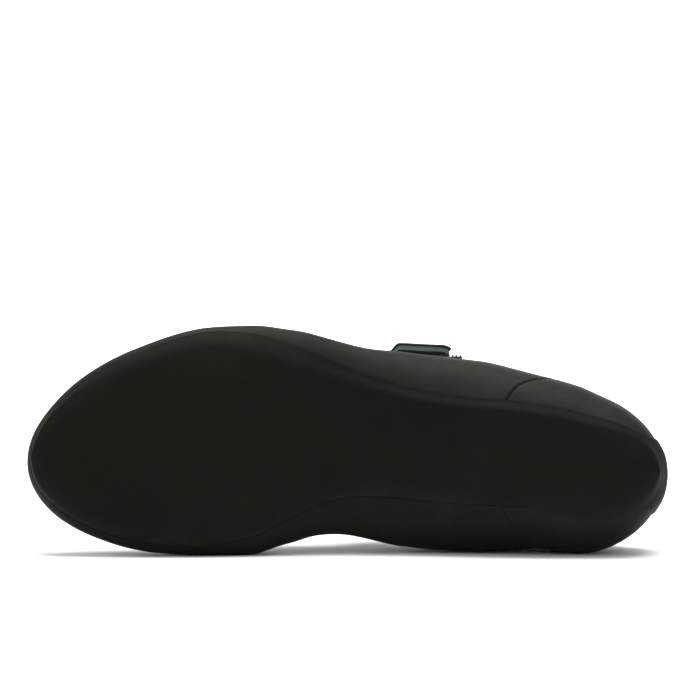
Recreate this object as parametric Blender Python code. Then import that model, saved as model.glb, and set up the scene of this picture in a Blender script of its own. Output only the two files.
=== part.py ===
"""A left climbing shoe lying on its inner side, sole towards -Y, toe towards -X.

Every piece is read from one function of the last, the foot form inside the shoe.
Shoe frame: +x heel to toe, +y outer (little toe) side, +z sole to instep, in metres.
"""

import math
from collections import namedtuple
from functools import lru_cache

import bmesh
import bpy
import numpy as np
from mathutils import Matrix, Vector

# Last: the form that the upper is pulled over
LAST_LENGTH = 0.2440
BALL_WIDTH = 0.0812
HEEL_WIDTH = 0.0600
INSTEP_HEIGHT = 0.0610
TOE_HEIGHT = 0.0230
ARCH_RISE = 0.0090
HEEL_LENGTH = 0.0340
TOE_LENGTH = 0.0710

# Thicknesses and clearances
GAP = 0.0004
UPPER_WALL = 0.0020
RAND_THICK = 0.0020
SOLE_THICK = 0.0040
SOLE_EDGE_THINNED = 0.36
SOLE_THINNING_START = 0.72
INSOLE_THICK = 0.0015
INSOLE_CLEARANCE = 0.0008
TONGUE_THICK = 0.0026
TONGUE_CLEARANCE = 0.0010
HEEL_STRIP_THICK = 0.0006
HEEL_STRIP_GAP = 0.00064
SEAM_GAP = 0.0008
HOOK_TAPE_GAP = 0.00028
HOOK_TAPE_THICK = 0.0014
STRAP_LINING_THICK = 0.0019
STRAP_THICK = 0.0010

# Collar, hem and throat; THROAT_FRONT is a share of the last's length
COLLAR_HEIGHT = 0.0580
HEM_WIDTH = 0.0070
HEM_LEAST_SHARE = 0.12
HEM_CLOSED_HALF = 0.0150
THROAT_HALF_WIDTH = 0.0120
THROAT_FRONT = 0.590

# Insole's edge as a share of the last's half width, and tongue's ends as shares of its length
INSOLE_SHARE = 0.86
MIDDLE_ROW_SHARE = 0.55
CLOSED_PLUG_SHARE = 0.08
TONGUE_TOP = 0.300
TONGUE_TIP = 0.625
TONGUE_TOP_WIDTH = 0.0420
TONGUE_TIP_WIDTH = 0.0280

# Heel strip; HEEL_STRIP_TOP is a share of the heel rand's height
HEEL_STRIP_WIDTH = 0.0288
HEEL_STRIP_TOP = 0.95
STRIP_SEARCH_END = 0.4

# Strap. Its middle line runs from a share of the last's length at the free tip to another at the
# anchor, and from a row on the outer side over the ridge to a row on the inner side. Steps along
# it run from 0 at the tip to 1 at the anchor.
STRAP_WIDTH = 0.0260
STRAP_TIP_WIDTH = 0.0220
STRAP_TIP_MIDDLE = 0.393
STRAP_ANCHOR_MIDDLE = 0.490
STRAP_TIP_ROW = 1.06
STRAP_ANCHOR_ROW = 1.36
STRAP_CHAMFER = 0.040
STRAP_LIFT = 0.0024
STRAP_LIFT_REACH = 0.24
STRAP_EDGE_DROP = 0.0036
STRAP_DROP_START = 0.50
STRAP_CREST = 0.5
STRAP_SEATED = 0.8
LINING_INSET = 0.0005
LINING_START = 0.004
LINING_END = 0.4375
HOOK_TAPE_OVERRUN = 0.0045
HOOK_LOW_ROW = 1.03
HOOK_HIGH_ROW = 1.55

# Pose: the lean on the inner side that the photograph shows, and how deep the rubber is flattened
SIDE_LEAN = math.radians(12)
FLAT_DEPTH = 0.0004

# Where the sides of the layers lie, measured out from the last
RAND_IN = UPPER_WALL + GAP
RAND_OUT = RAND_IN + RAND_THICK
HOOK_IN = RAND_IN + HOOK_TAPE_GAP
LINING_IN = HOOK_IN + HOOK_TAPE_THICK + GAP
LINING_OUT = LINING_IN + STRAP_LINING_THICK

LATERAL, MEDIAL = 1, -1
RIDGE_ROW = 2

# How much closer rows stand where a section turns, in length of section per radian
TURN_REACH = 0.0180
ROW_NUDGE = 0.004

# Last sections. x is a share of the last's length. Half widths are shares of half the width that
# rules there (heel, then ball), centre and ridge are shares of the ball width, rise is a share of
# the arch's rise, height a share of the height that rules there (instep, then toe), widest a share
# of the height. under and over are how square the section is below and above its widest line.
Section = namedtuple(
    "Section", "x centre ridge lateral medial rise height widest under_lat under_med over"
)
LAST = [
    Section(0.00, -0.050, -0.050, 0.93, 0.93, 0.04, 1.50, 0.23, 2.4, 2.4, 1.5),
    Section(0.08, -0.048, -0.048, 0.94, 0.94, 0.00, 1.50, 0.23, 2.4, 2.4, 1.4),
    Section(0.18, -0.010, -0.010, 1.01, 0.98, 0.00, 1.50, 0.24, 2.5, 2.5, 1.7),
    Section(0.29, 0.018, 0.005, 1.09, 1.08, 0.30, 1.42, 0.27, 2.5, 2.2, 2.4),
    Section(0.40, 0.030, -0.010, 1.02, 1.00, 0.85, 1.08, 0.32, 2.5, 2.0, 1.9),
    Section(0.50, 0.040, -0.035, 0.92, 0.84, 1.00, 0.90, 0.32, 2.6, 2.1, 1.8),
    Section(0.55, 0.026, -0.048, 0.97, 0.80, 0.84, 0.82, 0.28, 2.75, 2.35, 1.8),
    Section(0.60, 0.012, -0.060, 1.03, 0.86, 0.62, 0.76, 0.25, 2.9, 2.6, 1.8),
    Section(0.66, 0.000, -0.070, 1.07, 0.97, 0.32, 0.82, 0.20, 3.1, 3.0, 1.8),
    Section(0.74, -0.008, -0.085, 1.03, 0.99, 0.10, 1.04, 0.17, 3.2, 3.2, 1.9),
    Section(0.82, -0.034, -0.104, 0.99, 1.00, 0.00, 1.30, 0.19, 3.2, 3.2, 1.9),
    Section(0.90, -0.065, -0.115, 0.96, 0.99, 0.00, 1.02, 0.26, 3.2, 3.2, 2.0),
    Section(1.00, -0.125, -0.125, 0.93, 0.94, 0.03, 0.70, 0.36, 3.0, 3.0, 2.2),
]

# How far each end of the last stands back from its furthest point, at heights above its bottom.
# height is a share of the collar's height at the heel, and of the toe's height at the toe.
EndPoint = namedtuple("EndPoint", "height back")
HEEL_CURVE = [
    EndPoint(-0.10, 0.0300),
    EndPoint(0.00, 0.0140),
    EndPoint(0.02, 0.0088),
    EndPoint(0.05, 0.0055),
    EndPoint(0.10, 0.0027),
    EndPoint(0.17, 0.0008),
    EndPoint(0.28, 0.0000),
    EndPoint(0.45, 0.0006),
    EndPoint(0.65, 0.0024),
    EndPoint(0.85, 0.0054),
    EndPoint(1.00, 0.0080),
    EndPoint(1.60, 0.0200),
]
TOE_CURVE = [
    EndPoint(-0.30, 0.0140),
    EndPoint(0.00, 0.0070),
    EndPoint(0.02, 0.0044),
    EndPoint(0.07, 0.0026),
    EndPoint(0.13, 0.0013),
    EndPoint(0.22, 0.0003),
    EndPoint(0.31, 0.0000),
    EndPoint(0.43, 0.0004),
    EndPoint(0.57, 0.0016),
    EndPoint(0.70, 0.0036),
    EndPoint(0.87, 0.0070),
    EndPoint(1.45, 0.0160),
    EndPoint(4.00, 0.0340),
]

# Outline of the outsole on each side, as shares of the last's half width
SoleEdge = namedtuple("SoleEdge", "x lateral medial")
SOLE_EDGE = [
    SoleEdge(0.00, 0.84, 0.84),
    SoleEdge(0.04, 0.74, 0.74),
    SoleEdge(0.10, 0.69, 0.67),
    SoleEdge(0.20, 0.63, 0.64),
    SoleEdge(0.30, 0.57, 0.66),
    SoleEdge(0.40, 0.64, 0.64),
    SoleEdge(0.46, 0.73, 0.64),
    SoleEdge(0.53, 0.82, 0.76),
    SoleEdge(0.60, 0.89, 0.86),
    SoleEdge(0.67, 0.95, 0.93),
    SoleEdge(0.74, 0.975, 0.975),
    SoleEdge(1.00, 0.965, 0.965),
]

# Heights of the collar, as shares of its height at the heel
CollarPoint = namedtuple("CollarPoint", "x height")
COLLAR = [
    CollarPoint(0.00, 1.00),
    CollarPoint(0.05, 0.99),
    CollarPoint(0.12, 0.92),
    CollarPoint(0.20, 0.86),
    CollarPoint(0.28, 0.90),
    CollarPoint(0.34, 1.02),
    CollarPoint(0.40, 1.30),
    CollarPoint(1.00, 3.00),
]

# Half width of the throat, as shares of its widest
ThroatPoint = namedtuple("ThroatPoint", "x width")
THROAT = [
    ThroatPoint(0.00, 1.15),
    ThroatPoint(0.36, 1.12),
    ThroatPoint(0.42, 1.00),
    ThroatPoint(0.48, 0.86),
    ThroatPoint(0.54, 0.66),
    ThroatPoint(0.575, 0.42),
    ThroatPoint(THROAT_FRONT, 0.00),
]

# Upper edge of the side rand and of the heel rand, as shares of the collar's height
RandPoint = namedtuple("RandPoint", "x side heel")
RAND_TOP = [
    RandPoint(0.00, 0.36, 0.76),
    RandPoint(0.10, 0.36, 0.73),
    RandPoint(0.20, 0.36, 0.60),
    RandPoint(0.30, 0.34, 0.44),
    RandPoint(0.45, 0.31, 0.36),
    RandPoint(0.60, 0.33, 0.36),
    RandPoint(0.75, 0.36, 0.36),
    RandPoint(0.90, 0.33, 0.33),
    RandPoint(1.00, 0.23, 0.23),
]

# The slanting seam between the side rand and the heel rand. row counts up the section: 0 is the
# middle of the underside, 1 the widest line and 2 the ridge; x is a share of the last's length.
SeamPoint = namedtuple("SeamPoint", "row x")
SEAM = [
    SeamPoint(0.00, 0.255),
    SeamPoint(0.50, 0.229),
    SeamPoint(0.80, 0.184),
    SeamPoint(1.00, 0.160),
    SeamPoint(1.30, 0.145),
    SeamPoint(2.00, 0.130),
]


def lerp(a, b, t):
    return a + (b - a) * t


def blend(low, high, x):
    """0 before low, 1 after high and smooth between."""
    t = min(max((x - low) / (high - low), 0.0), 1.0)
    return t * t * (3 - 2 * t)


@lru_cache(maxsize=None)
def column_of(table_name, column):
    rows = TABLES[table_name]
    xs = [row[0] for row in rows]
    ys = [getattr(row, column) for row in rows]
    rises = [(ys[k + 1] - ys[k]) / (xs[k + 1] - xs[k]) for k in range(len(xs) - 1)]
    slopes = [rises[0]]
    for before, after in zip(rises, rises[1:]):
        slopes.append(0.0 if before * after <= 0 else 2 * before * after / (before + after))
    slopes.append(rises[-1])
    return xs, ys, slopes


def smooth(table_name, column, x):
    """The column's value at x, on a smooth curve through the table's rows."""
    xs, ys, slopes = column_of(table_name, column)
    x = min(max(x, xs[0]), xs[-1])
    i = min(max(int(np.searchsorted(xs, x, side="right")) - 1, 0), len(xs) - 2)
    step = xs[i + 1] - xs[i]
    t = (x - xs[i]) / step
    return (
        ys[i] * (1 + 2 * t) * (1 - t) ** 2
        + slopes[i] * step * t * (1 - t) ** 2
        + ys[i + 1] * t * t * (3 - 2 * t)
        + slopes[i + 1] * step * t * t * (t - 1)
    )


TABLES = {
    "last": LAST,
    "heel": HEEL_CURVE,
    "toe": TOE_CURVE,
    "sole": SOLE_EDGE,
    "collar": COLLAR,
    "throat": THROAT,
    "rand": RAND_TOP,
    "seam": SEAM,
}


def half_width(x, side):
    unit = lerp(HEEL_WIDTH, BALL_WIDTH, blend(0.3, 0.6, x)) / 2
    width = unit * smooth("last", "lateral" if side == LATERAL else "medial", x)
    to_heel = x * LAST_LENGTH / HEEL_LENGTH
    to_toe = (1 - x) * LAST_LENGTH / TOE_LENGTH
    for reach in (to_heel, to_toe):
        if reach < 1:
            width *= math.sqrt(max(1 - (1 - reach) ** 2, 0.0))
    return width


@lru_cache(maxsize=None)
def end_curve(name):
    heights = column_of(name, "back")[0]
    steps = np.linspace(heights[0], heights[-1], 2001)
    return steps, np.array([smooth(name, "back", h) for h in steps])


def end_setback(x, z):
    """How far forward the rounded heel, or back the rounded toe, moves a point of the last."""
    back = np.interp(z / COLLAR_HEIGHT, *end_curve("heel")) * (1 - x) ** 3
    front = np.interp(z / TOE_HEIGHT, *end_curve("toe")) * x**3
    return back - front


def ridge_height(x):
    unit = lerp(INSTEP_HEIGHT, TOE_HEIGHT, blend(0.6, 0.8, x))
    return unit * smooth("last", "height", x)


@lru_cache(maxsize=None)
def ring(x, side):
    """One side of the last's section at x: rows 0 to 2 with their y, z and half width shares."""
    half = half_width(x, side)
    centre = BALL_WIDTH * smooth("last", "centre", x)
    ridge = BALL_WIDTH * smooth("last", "ridge", x)
    narrowed = min(1.0, half / (HEEL_WIDTH / 3))
    ridge = lerp(centre, ridge, narrowed)
    low = ARCH_RISE * smooth("last", "rise", x)
    high = ridge_height(x)
    middle = max(high * smooth("last", "widest", x), low + 0.2 * (high - low))
    under = smooth("last", "under_lat" if side == LATERAL else "under_med", x)
    over = smooth("last", "over", x)
    turn = np.linspace(0, math.pi / 2, 121)
    out = np.sin(turn) ** (2 / under)
    down = np.cos(turn) ** (2 / under)
    lower = np.stack([centre + side * half * out, low + (middle - low) * (1 - down)])
    inward = np.cos(turn) ** (2 / over)
    up = np.sin(turn) ** (2 / over)
    reach = centre + side * half - ridge
    upper = np.stack([ridge + reach * inward, middle + (high - middle) * up])

    widened = min(1.0, half / (HEEL_WIDTH / 4))

    def bends(across, up):
        heading = np.unwrap(np.arctan2(up, across + 1e-12))
        return np.abs(np.diff(heading, prepend=heading[0]))

    def spacing(line):
        dy, dz = np.diff(line, axis=1)
        dx = np.diff(end_setback(x, line[1]))
        turned = widened * bends(side * dy, dz) + (1 - widened) * bends(np.abs(dx), dz)
        steps = np.sqrt(dx * dx + dy * dy + dz * dz) + TURN_REACH * turned
        total = np.concatenate([[0], np.cumsum(steps)])
        return total / total[-1]

    lower_rows = spacing(lower)
    upper_rows = spacing(upper)
    return {
        "row": np.concatenate([lower_rows, 1 + upper_rows[1:]]),
        "y": np.concatenate([lower[0], upper[0][1:]]),
        "z": np.concatenate([lower[1], upper[1][1:]]),
        "share": out,
        "share_row": lower_rows,
        "ridge": ridge,
    }


def share_of(s):
    """Stations crowd towards both ends of the last, where it turns fastest."""
    return (1 - math.cos(math.pi * s)) / 2


def station_of(x):
    return math.acos(1 - 2 * x) / math.pi


def last_point(s, side, row):
    x = share_of(s)
    line = ring(x, side)
    y = float(np.interp(row, line["row"], line["y"]))
    z = float(np.interp(row, line["row"], line["z"]))
    return Vector((LAST_LENGTH * x + float(end_setback(x, z)), y, z))


def side_normal(s, side, row):
    ds, dr = 0.006, 0.012
    row = min(max(row, dr), 2 - dr)
    along = last_point(min(s + ds, 1), side, row) - last_point(max(s - ds, 0), side, row)
    across = last_point(s, side, min(row + dr, 2)) - last_point(s, side, max(row - dr, 0))
    return (along.cross(across) * -side).normalized()


@lru_cache(maxsize=None)
def skin(s, side, row):
    """A point of the last and the direction away from it there."""
    normal = side_normal(s, side, row)
    if s in (0, 1) or row in (0, 2):
        normal = (normal + side_normal(s, -side, row)).normalized()
    return last_point(s, side, row), normal


def at(s, side, row, out):
    point, normal = skin(s, side, row)
    return point + normal * out


def row_at_share(x, side, share):
    line = ring(x, side)
    return float(np.interp(share, line["share"], line["share_row"]))


def row_at_height(x, side, height):
    """The row above the widest line that lies at this height."""
    line = ring(x, side)
    over = line["row"] >= 1
    return float(np.interp(height, line["z"][over], line["row"][over]))


def row_at_ridge_distance(x, side, distance):
    line = ring(x, side)
    over = line["row"] >= 1
    gaps = np.abs(line["y"][over] - line["ridge"])[::-1]
    return float(np.interp(distance, gaps, line["row"][over][::-1]))


def row_shift(x, side, row, distance):
    """The row this far along the section from another row."""
    line = ring(x, side)
    near = [np.interp(row + d, line["row"], line[axis]) for axis in "yz" for d in (0, ROW_NUDGE)]
    return row + ROW_NUDGE * distance / math.hypot(near[1] - near[0], near[3] - near[2])


def sole_row(x, side):
    return row_at_share(x, side, smooth("sole", "lateral" if side == LATERAL else "medial", x))


def hem_row(x, side):
    """Inner edge of the upper's turned-in hem; 0 where the hem closes at the ends."""
    half = min(half_width(x, LATERAL), half_width(x, MEDIAL))
    if half < HEM_CLOSED_HALF:
        return 0.0
    share = smooth("sole", "lateral" if side == LATERAL else "medial", x)
    return row_at_share(x, side, max(share - HEM_WIDTH / half_width(x, side), HEM_LEAST_SHARE))


def opening_row(x, side):
    """Edge of the collar and throat; 2 where the upper is closed over the toes."""
    if x >= THROAT_FRONT:
        return 2.0
    collar = COLLAR_HEIGHT * smooth("collar", "height", x)
    throat = THROAT_HALF_WIDTH * smooth("throat", "width", x)
    rows = [row_at_ridge_distance(x, side, throat)]
    if collar < ridge_height(x):
        rows.append(row_at_height(x, side, collar))
    return min(rows)


class Skin:
    """A sheet over part of the last, given thickness between two distances from it."""

    def __init__(self):
        self.keys = {}
        self.inner = []
        self.outer = []
        self.faces = []

    def vertex(self, inner, outer):
        key = tuple(round(v * 1e7) for v in (*inner, *outer))
        if key not in self.keys:
            self.keys[key] = len(self.inner)
            self.inner.append(inner)
            self.outer.append(outer)
        return self.keys[key]

    def grid(self, columns, side):
        """Fills a grid of vertex numbers: columns run heel to toe, rows from under to over."""
        for left, right in zip(columns, columns[1:]):
            for (a, b), (d, c) in zip(zip(left, left[1:]), zip(right, right[1:])):
                loop = [a, b, c, d] if side == LATERAL else [a, d, c, b]
                loop = [v for k, v in enumerate(loop) if v != loop[k - 1]]
                if len(loop) > 2:
                    self.faces.append(loop)

    def mesh(self, name):
        """Closes the sheet: its outer side, its inner side and a wall round every open edge."""
        count = len(self.outer)
        faces = list(self.faces) + [[v + count for v in reversed(f)] for f in self.faces]
        edges = {(f[k - 1], f[k]) for f in self.faces for k in range(len(f))}
        for a, b in edges:
            if (b, a) not in edges:
                faces.append([b, a, a + count, b + count])
        return solid(name, self.outer + self.inner, faces)


def solid(name, points, faces):
    mesh = bpy.data.meshes.new(name)
    mesh.from_pydata([tuple(p) for p in points], [], faces)
    work = bmesh.new()
    work.from_mesh(mesh)
    bmesh.ops.remove_doubles(work, verts=work.verts, dist=1e-7)
    bmesh.ops.triangulate(work, faces=work.faces, quad_method="BEAUTY")
    bmesh.ops.recalc_face_normals(work, faces=work.faces)
    if work.calc_volume(signed=True) < 0:
        bmesh.ops.reverse_faces(work, faces=work.faces)
    work.to_mesh(mesh)
    work.free()
    return mesh


# Stations along the shoe, two more where the throat opens, and rows up the pieces
STATIONS = sorted([k / 38 for k in range(39)] + [0.405, 0.430])
STATION_STEP = STATIONS[1]
UNDER_ROWS = 7
OVER_ROWS = 6
SOLE_ROWS = [0, 0.14, 0.34, 0.56, 0.74, 0.88, 1]
HEEL_ROWS = [0, 0.08, 0.16, 0.25, 0.36, 0.5, 0.66, 0.83, 1]
SIDE_ROWS = [k / 7 for k in range(8)]
TONGUE_ROWS = [0, 0.3, 0.62, 1]
STRAP_LINES = [-1, 0, STRAP_DROP_START, 1]
STRAP_STEPS = [0, LINING_START, STRAP_CHAMFER, 0.052, 0.09] + [k / 16 for k in range(2, 17)]


def shoe_sheet(name, stations, rows_of, inner_of, outer_of, sides=(LATERAL, MEDIAL)):
    """A piece over the given stations; rows_of gives (station, row) pairs up one column."""
    sheet = Skin()
    for side in sides:
        columns = []
        for s in stations:
            column = []
            for k, (station, row) in enumerate(rows_of(s, side)):
                inner = at(station, side, row, inner_of(s, side, k))
                outer = at(station, side, row, outer_of(s, side, k))
                column.append(sheet.vertex(inner, outer))
            columns.append(column)
        sheet.grid(columns, side)
    return sheet.mesh(name)


def upper_mesh():
    under = [k / UNDER_ROWS for k in range(UNDER_ROWS)]
    over = [k / OVER_ROWS for k in range(OVER_ROWS + 1)]

    def rows_of(s, side):
        x = share_of(s)
        low, high = hem_row(x, side), opening_row(x, side)
        rows = [lerp(low, 1, t) for t in under] + [lerp(1, high, t) for t in over]
        return [(s, row) for row in rows]

    return shoe_sheet(
        "upper", STATIONS, rows_of, lambda s, side, k: 0.0, lambda s, side, k: UPPER_WALL
    )


def sole_mesh():
    def rows_of(s, side):
        edge = sole_row(share_of(s), side)
        return [(s, edge * t) for t in SOLE_ROWS]

    def outer_of(s, side, k):
        return RAND_IN + SOLE_THICK * (1 - SOLE_EDGE_THINNED * blend(SOLE_THINNING_START, 1, SOLE_ROWS[k]))

    return shoe_sheet("outsole", STATIONS, rows_of, lambda s, side, k: RAND_IN, outer_of)


def insole_mesh():
    """A footbed whose underside steps down into the hem's opening, onto the outsole."""
    under = -INSOLE_CLEARANCE
    top = under - INSOLE_THICK

    def plugged(s):
        near = [max(s - STATION_STEP, 0), s, min(s + STATION_STEP, 1)]
        return all(hem_row(share_of(t), MEDIAL) > 0 for t in near)

    def rows_of(s, side):
        x = share_of(s)
        edge = row_at_share(x, side, INSOLE_SHARE)
        hem = hem_row(x, side)
        plug = row_shift(x, side, hem, -2 * GAP) if hem > 0 else edge * CLOSED_PLUG_SHARE
        middle = lerp(plug, edge, MIDDLE_ROW_SHARE)
        return [(s, row) for row in (0, plug * MIDDLE_ROW_SHARE, plug, plug, middle, edge)]

    def under_of(s, side, k):
        return RAND_IN - GAP if plugged(s) and k < 3 else under

    return shoe_sheet("insole", STATIONS, rows_of, lambda s, side, k: top, under_of)


def tongue_mesh():
    inner = [s for s in STATIONS if TONGUE_TOP < share_of(s) < TONGUE_TIP]
    stations = [station_of(TONGUE_TOP)] + inner + [station_of(TONGUE_TIP)]

    def rows_of(s, side):
        x = share_of(s)
        along = (x - TONGUE_TOP) / (TONGUE_TIP - TONGUE_TOP)
        half = lerp(TONGUE_TOP_WIDTH, TONGUE_TIP_WIDTH, along) / 2
        edge = row_at_ridge_distance(x, side, half)
        return [(s, lerp(edge, 2, t)) for t in TONGUE_ROWS]

    return shoe_sheet(
        "tongue",
        stations,
        rows_of,
        lambda s, side, k: -TONGUE_CLEARANCE - TONGUE_THICK,
        lambda s, side, k: -TONGUE_CLEARANCE,
    )


# The station by which the two rands share out the columns, and how many columns bend to the seam
SEAM_MIDDLE = 0.215
SEAM_REACH = 6


def seam_station(row, gap):
    return station_of(smooth("seam", "x", row) + gap / LAST_LENGTH)


def rand_rows(column, shares, warp):
    """Rows up the rand from the outsole's edge, each moved along the shoe to meet the seam."""

    def rows_of(s, side):
        found = []
        for t in shares:
            station = s
            for _ in range(4):
                x = share_of(station)
                low = row_shift(x, side, sole_row(x, side), GAP)
                height = COLLAR_HEIGHT * smooth("rand", column, x)
                row = lerp(low, row_at_height(x, side, height), t)
                station = warp(s, row)
            x = share_of(station)
            low = row_shift(x, side, sole_row(x, side), GAP)
            height = COLLAR_HEIGHT * smooth("rand", column, x)
            found.append((station, lerp(low, row_at_height(x, side, height), t)))
        return found

    return rows_of


def rand_mesh():
    stations = [s for s in STATIONS if share_of(s) > SEAM_MIDDLE]
    first, still = stations[0], stations[SEAM_REACH]

    def warp(s, row):
        reach = min((s - first) / (still - first), 1)
        return s + (seam_station(row, SEAM_GAP / 2) - first) * (1 - reach)

    rows_of = rand_rows("side", SIDE_ROWS, warp)
    return shoe_sheet(
        "rand", stations, rows_of, lambda s, side, k: RAND_IN, lambda s, side, k: RAND_OUT
    )


def heel_rand_mesh():
    stations = [s for s in STATIONS if share_of(s) < SEAM_MIDDLE]
    last, still = stations[-1], stations[-1 - SEAM_REACH]

    def warp(s, row):
        reach = min((last - s) / (last - still), 1)
        return s + (seam_station(row, -SEAM_GAP / 2) - last) * (1 - reach)

    rows_of = rand_rows("heel", HEEL_ROWS, warp)
    return shoe_sheet(
        "heel_rand", stations, rows_of, lambda s, side, k: RAND_IN, lambda s, side, k: RAND_OUT
    )


def heel_strip_mesh():
    low_out = RAND_OUT + HEEL_STRIP_GAP
    high_out = low_out + HEEL_STRIP_THICK

    def edge_station(side, row):
        near, far = 0.0, STRIP_SEARCH_END
        middle = at(0, side, row, low_out).y
        for _ in range(30):
            s = (near + far) / 2
            if abs(at(s, side, row, low_out).y - middle) < HEEL_STRIP_WIDTH / 2:
                near = s
            else:
                far = s
        return near

    def rows_of(t, side):
        found = []
        for share in HEEL_ROWS[:-1] + [HEEL_STRIP_TOP]:
            station = 0.0
            row = 0.5
            for _ in range(6):
                x = share_of(station)
                low = row_shift(x, side, sole_row(x, side), GAP)
                top = COLLAR_HEIGHT * smooth("rand", "heel", x)
                row = lerp(low, row_at_height(x, side, top), share)
                station = t * edge_station(side, row)
            found.append((station, row))
        return found

    return shoe_sheet(
        "heel_strip",
        [0, 1 / 3, 2 / 3, 1],
        rows_of,
        lambda s, side, k: low_out,
        lambda s, side, k: high_out,
    )


def strap_lift(line, step):
    """The free end stands off the shoe, except that its toe-side edge bends down to it."""
    loose = max(1 - step / STRAP_LIFT_REACH, 0) ** 2
    return loose * (STRAP_LIFT - STRAP_EDGE_DROP * blend(STRAP_DROP_START, 1, line))


def strap_sheet(name, low_of, high_of, start, end, inset):
    """A band over the instep from its free outer end (0) to its inner anchor (1)."""
    sheet = Skin()
    steps = [step for step in STRAP_STEPS if start <= step <= end]
    columns = []
    for line in STRAP_LINES:
        column = []
        for step in steps:
            reach = min((step - start) / STRAP_CHAMFER, 1.0)
            width = lerp(STRAP_TIP_WIDTH, STRAP_WIDTH, reach) - 2 * inset
            middle = lerp(STRAP_TIP_MIDDLE, STRAP_ANCHOR_MIDDLE, step)
            station = station_of(middle + line * width / 2 / LAST_LENGTH)
            if step <= STRAP_CREST:
                side, row = LATERAL, lerp(STRAP_TIP_ROW, RIDGE_ROW, step / STRAP_CREST)
            else:
                down = (step - STRAP_CREST) / (1 - STRAP_CREST)
                side, row = MEDIAL, lerp(RIDGE_ROW, STRAP_ANCHOR_ROW, down)
            lift = strap_lift(line, step)
            inner = at(station, side, row, low_of(step) + lift)
            outer = at(station, side, row, high_of(step) + lift)
            column.append(sheet.vertex(inner, outer))
        columns.append(column)
    sheet.grid(columns, LATERAL)
    return sheet.mesh(name)


def strap_base(step):
    """How far the strap's inner side stands off the last: over the lining, then on the upper."""
    return lerp(LINING_OUT + GAP, RAND_IN + GAP, blend(STRAP_CREST, STRAP_SEATED, step))


def strap_mesh():
    def strap_top(step):
        return strap_base(step) + STRAP_THICK

    return strap_sheet("strap", strap_base, strap_top, 0.0, 1.0, 0.0)


def strap_lining_mesh():
    return strap_sheet(
        "strap_lining",
        lambda step: LINING_IN,
        lambda step: LINING_OUT,
        LINING_START,
        LINING_END,
        LINING_INSET,
    )


def hook_pad_mesh():
    """Hook tape under the strap's tip; it stops before the strap's lowered toe-side edge."""
    back = STRAP_TIP_MIDDLE - (STRAP_WIDTH / 2 + HOOK_TAPE_OVERRUN) / LAST_LENGTH
    front = STRAP_TIP_MIDDLE + STRAP_DROP_START * STRAP_TIP_WIDTH / 2 / LAST_LENGTH
    stations = [station_of(lerp(back, front, k / 4)) for k in range(5)]

    def rows_of(s, side):
        return [(s, lerp(HOOK_LOW_ROW, HOOK_HIGH_ROW, k / 5)) for k in range(6)]

    return shoe_sheet(
        "hook_pad",
        stations,
        rows_of,
        lambda s, side, k: HOOK_IN,
        lambda s, side, k: HOOK_IN + HOOK_TAPE_THICK,
        (LATERAL,),
    )


# name: (maker, colour, roughness)
PIECES = {
    "outsole": (sole_mesh, (0.018, 0.018, 0.018), 0.62),
    "rand": (rand_mesh, (0.028, 0.027, 0.025), 0.66),
    "heel_rand": (heel_rand_mesh, (0.030, 0.029, 0.027), 0.66),
    "heel_strip": (heel_strip_mesh, (0.024, 0.024, 0.023), 0.62),
    "upper": (upper_mesh, (0.045, 0.046, 0.048), 0.85),
    "tongue": (tongue_mesh, (0.060, 0.062, 0.064), 0.90),
    "insole": (insole_mesh, (0.100, 0.095, 0.088), 0.90),
    "hook_pad": (hook_pad_mesh, (0.020, 0.020, 0.020), 0.80),
    "strap_lining": (strap_lining_mesh, (0.170, 0.330, 0.300), 0.85),
    "strap": (strap_mesh, (0.022, 0.022, 0.022), 0.70),
}

# The shoe frame's axes in the world before the shoe is laid down: toe -X, outer side +Z, instep +Y
UPRIGHT = Matrix(((-1, 0, 0), (0, 0, 1), (0, 1, 0)))


def rest_turn(points, middle):
    """The turn that lays the shoe on the hull face it can rest on nearest to the wanted lean."""
    aim = Vector((0, math.sin(SIDE_LEAN), -math.cos(SIDE_LEAN)))
    hull = bmesh.new()
    for p in points:
        hull.verts.new(p)
    made = bmesh.ops.convex_hull(hull, input=hull.verts, use_existing_faces=False)
    faces = [f for f in made["geom"] if isinstance(f, bmesh.types.BMFace)]
    bmesh.ops.join_triangles(
        hull, faces=faces, angle_face_threshold=0.01, angle_shape_threshold=3.2
    )
    best, nearest = None, 0.0
    for face in hull.faces:
        if face.normal.dot(aim) < nearest:
            continue
        foot = middle - face.normal * (middle - face.verts[0].co).dot(face.normal)
        corners = [v.co for v in face.verts]
        inside = all(
            (b - a).cross(foot - a).dot(face.normal) >= 0
            for a, b in zip(corners, corners[1:] + corners[:1])
        )
        if inside:
            best, nearest = face.normal.copy(), face.normal.dot(aim)
    hull.free()
    return best.rotation_difference(Vector((0, 0, -1))).to_matrix()


def press_flat(mesh, placed):
    """Cuts off what lies below the floor and closes the cut with a flat face."""
    work = bmesh.new()
    work.from_mesh(mesh)
    work.transform(placed)
    if min(v.co.z for v in work.verts) < -1e-6:
        geometry = work.verts[:] + work.edges[:] + work.faces[:]
        bmesh.ops.bisect_plane(
            work, geom=geometry, dist=2e-6, plane_co=(0, 0, 0), plane_no=(0, 0, 1), clear_inner=True
        )
        rim = [e for e in work.edges if e.is_boundary]
        bmesh.ops.holes_fill(work, edges=rim)
        bmesh.ops.triangulate(work, faces=[f for f in work.faces if len(f.verts) > 3])
    work.transform(placed.inverted())
    work.to_mesh(mesh)
    work.free()


def paint(name, colour, roughness):
    material = bpy.data.materials.new(name + "_finish")
    material.use_nodes = True
    shader = material.node_tree.nodes["Principled BSDF"]
    shader.inputs["Base Color"].default_value = (*colour, 1)
    shader.inputs["Roughness"].default_value = roughness
    shader.inputs["Metallic"].default_value = 0.0
    return material


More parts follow.
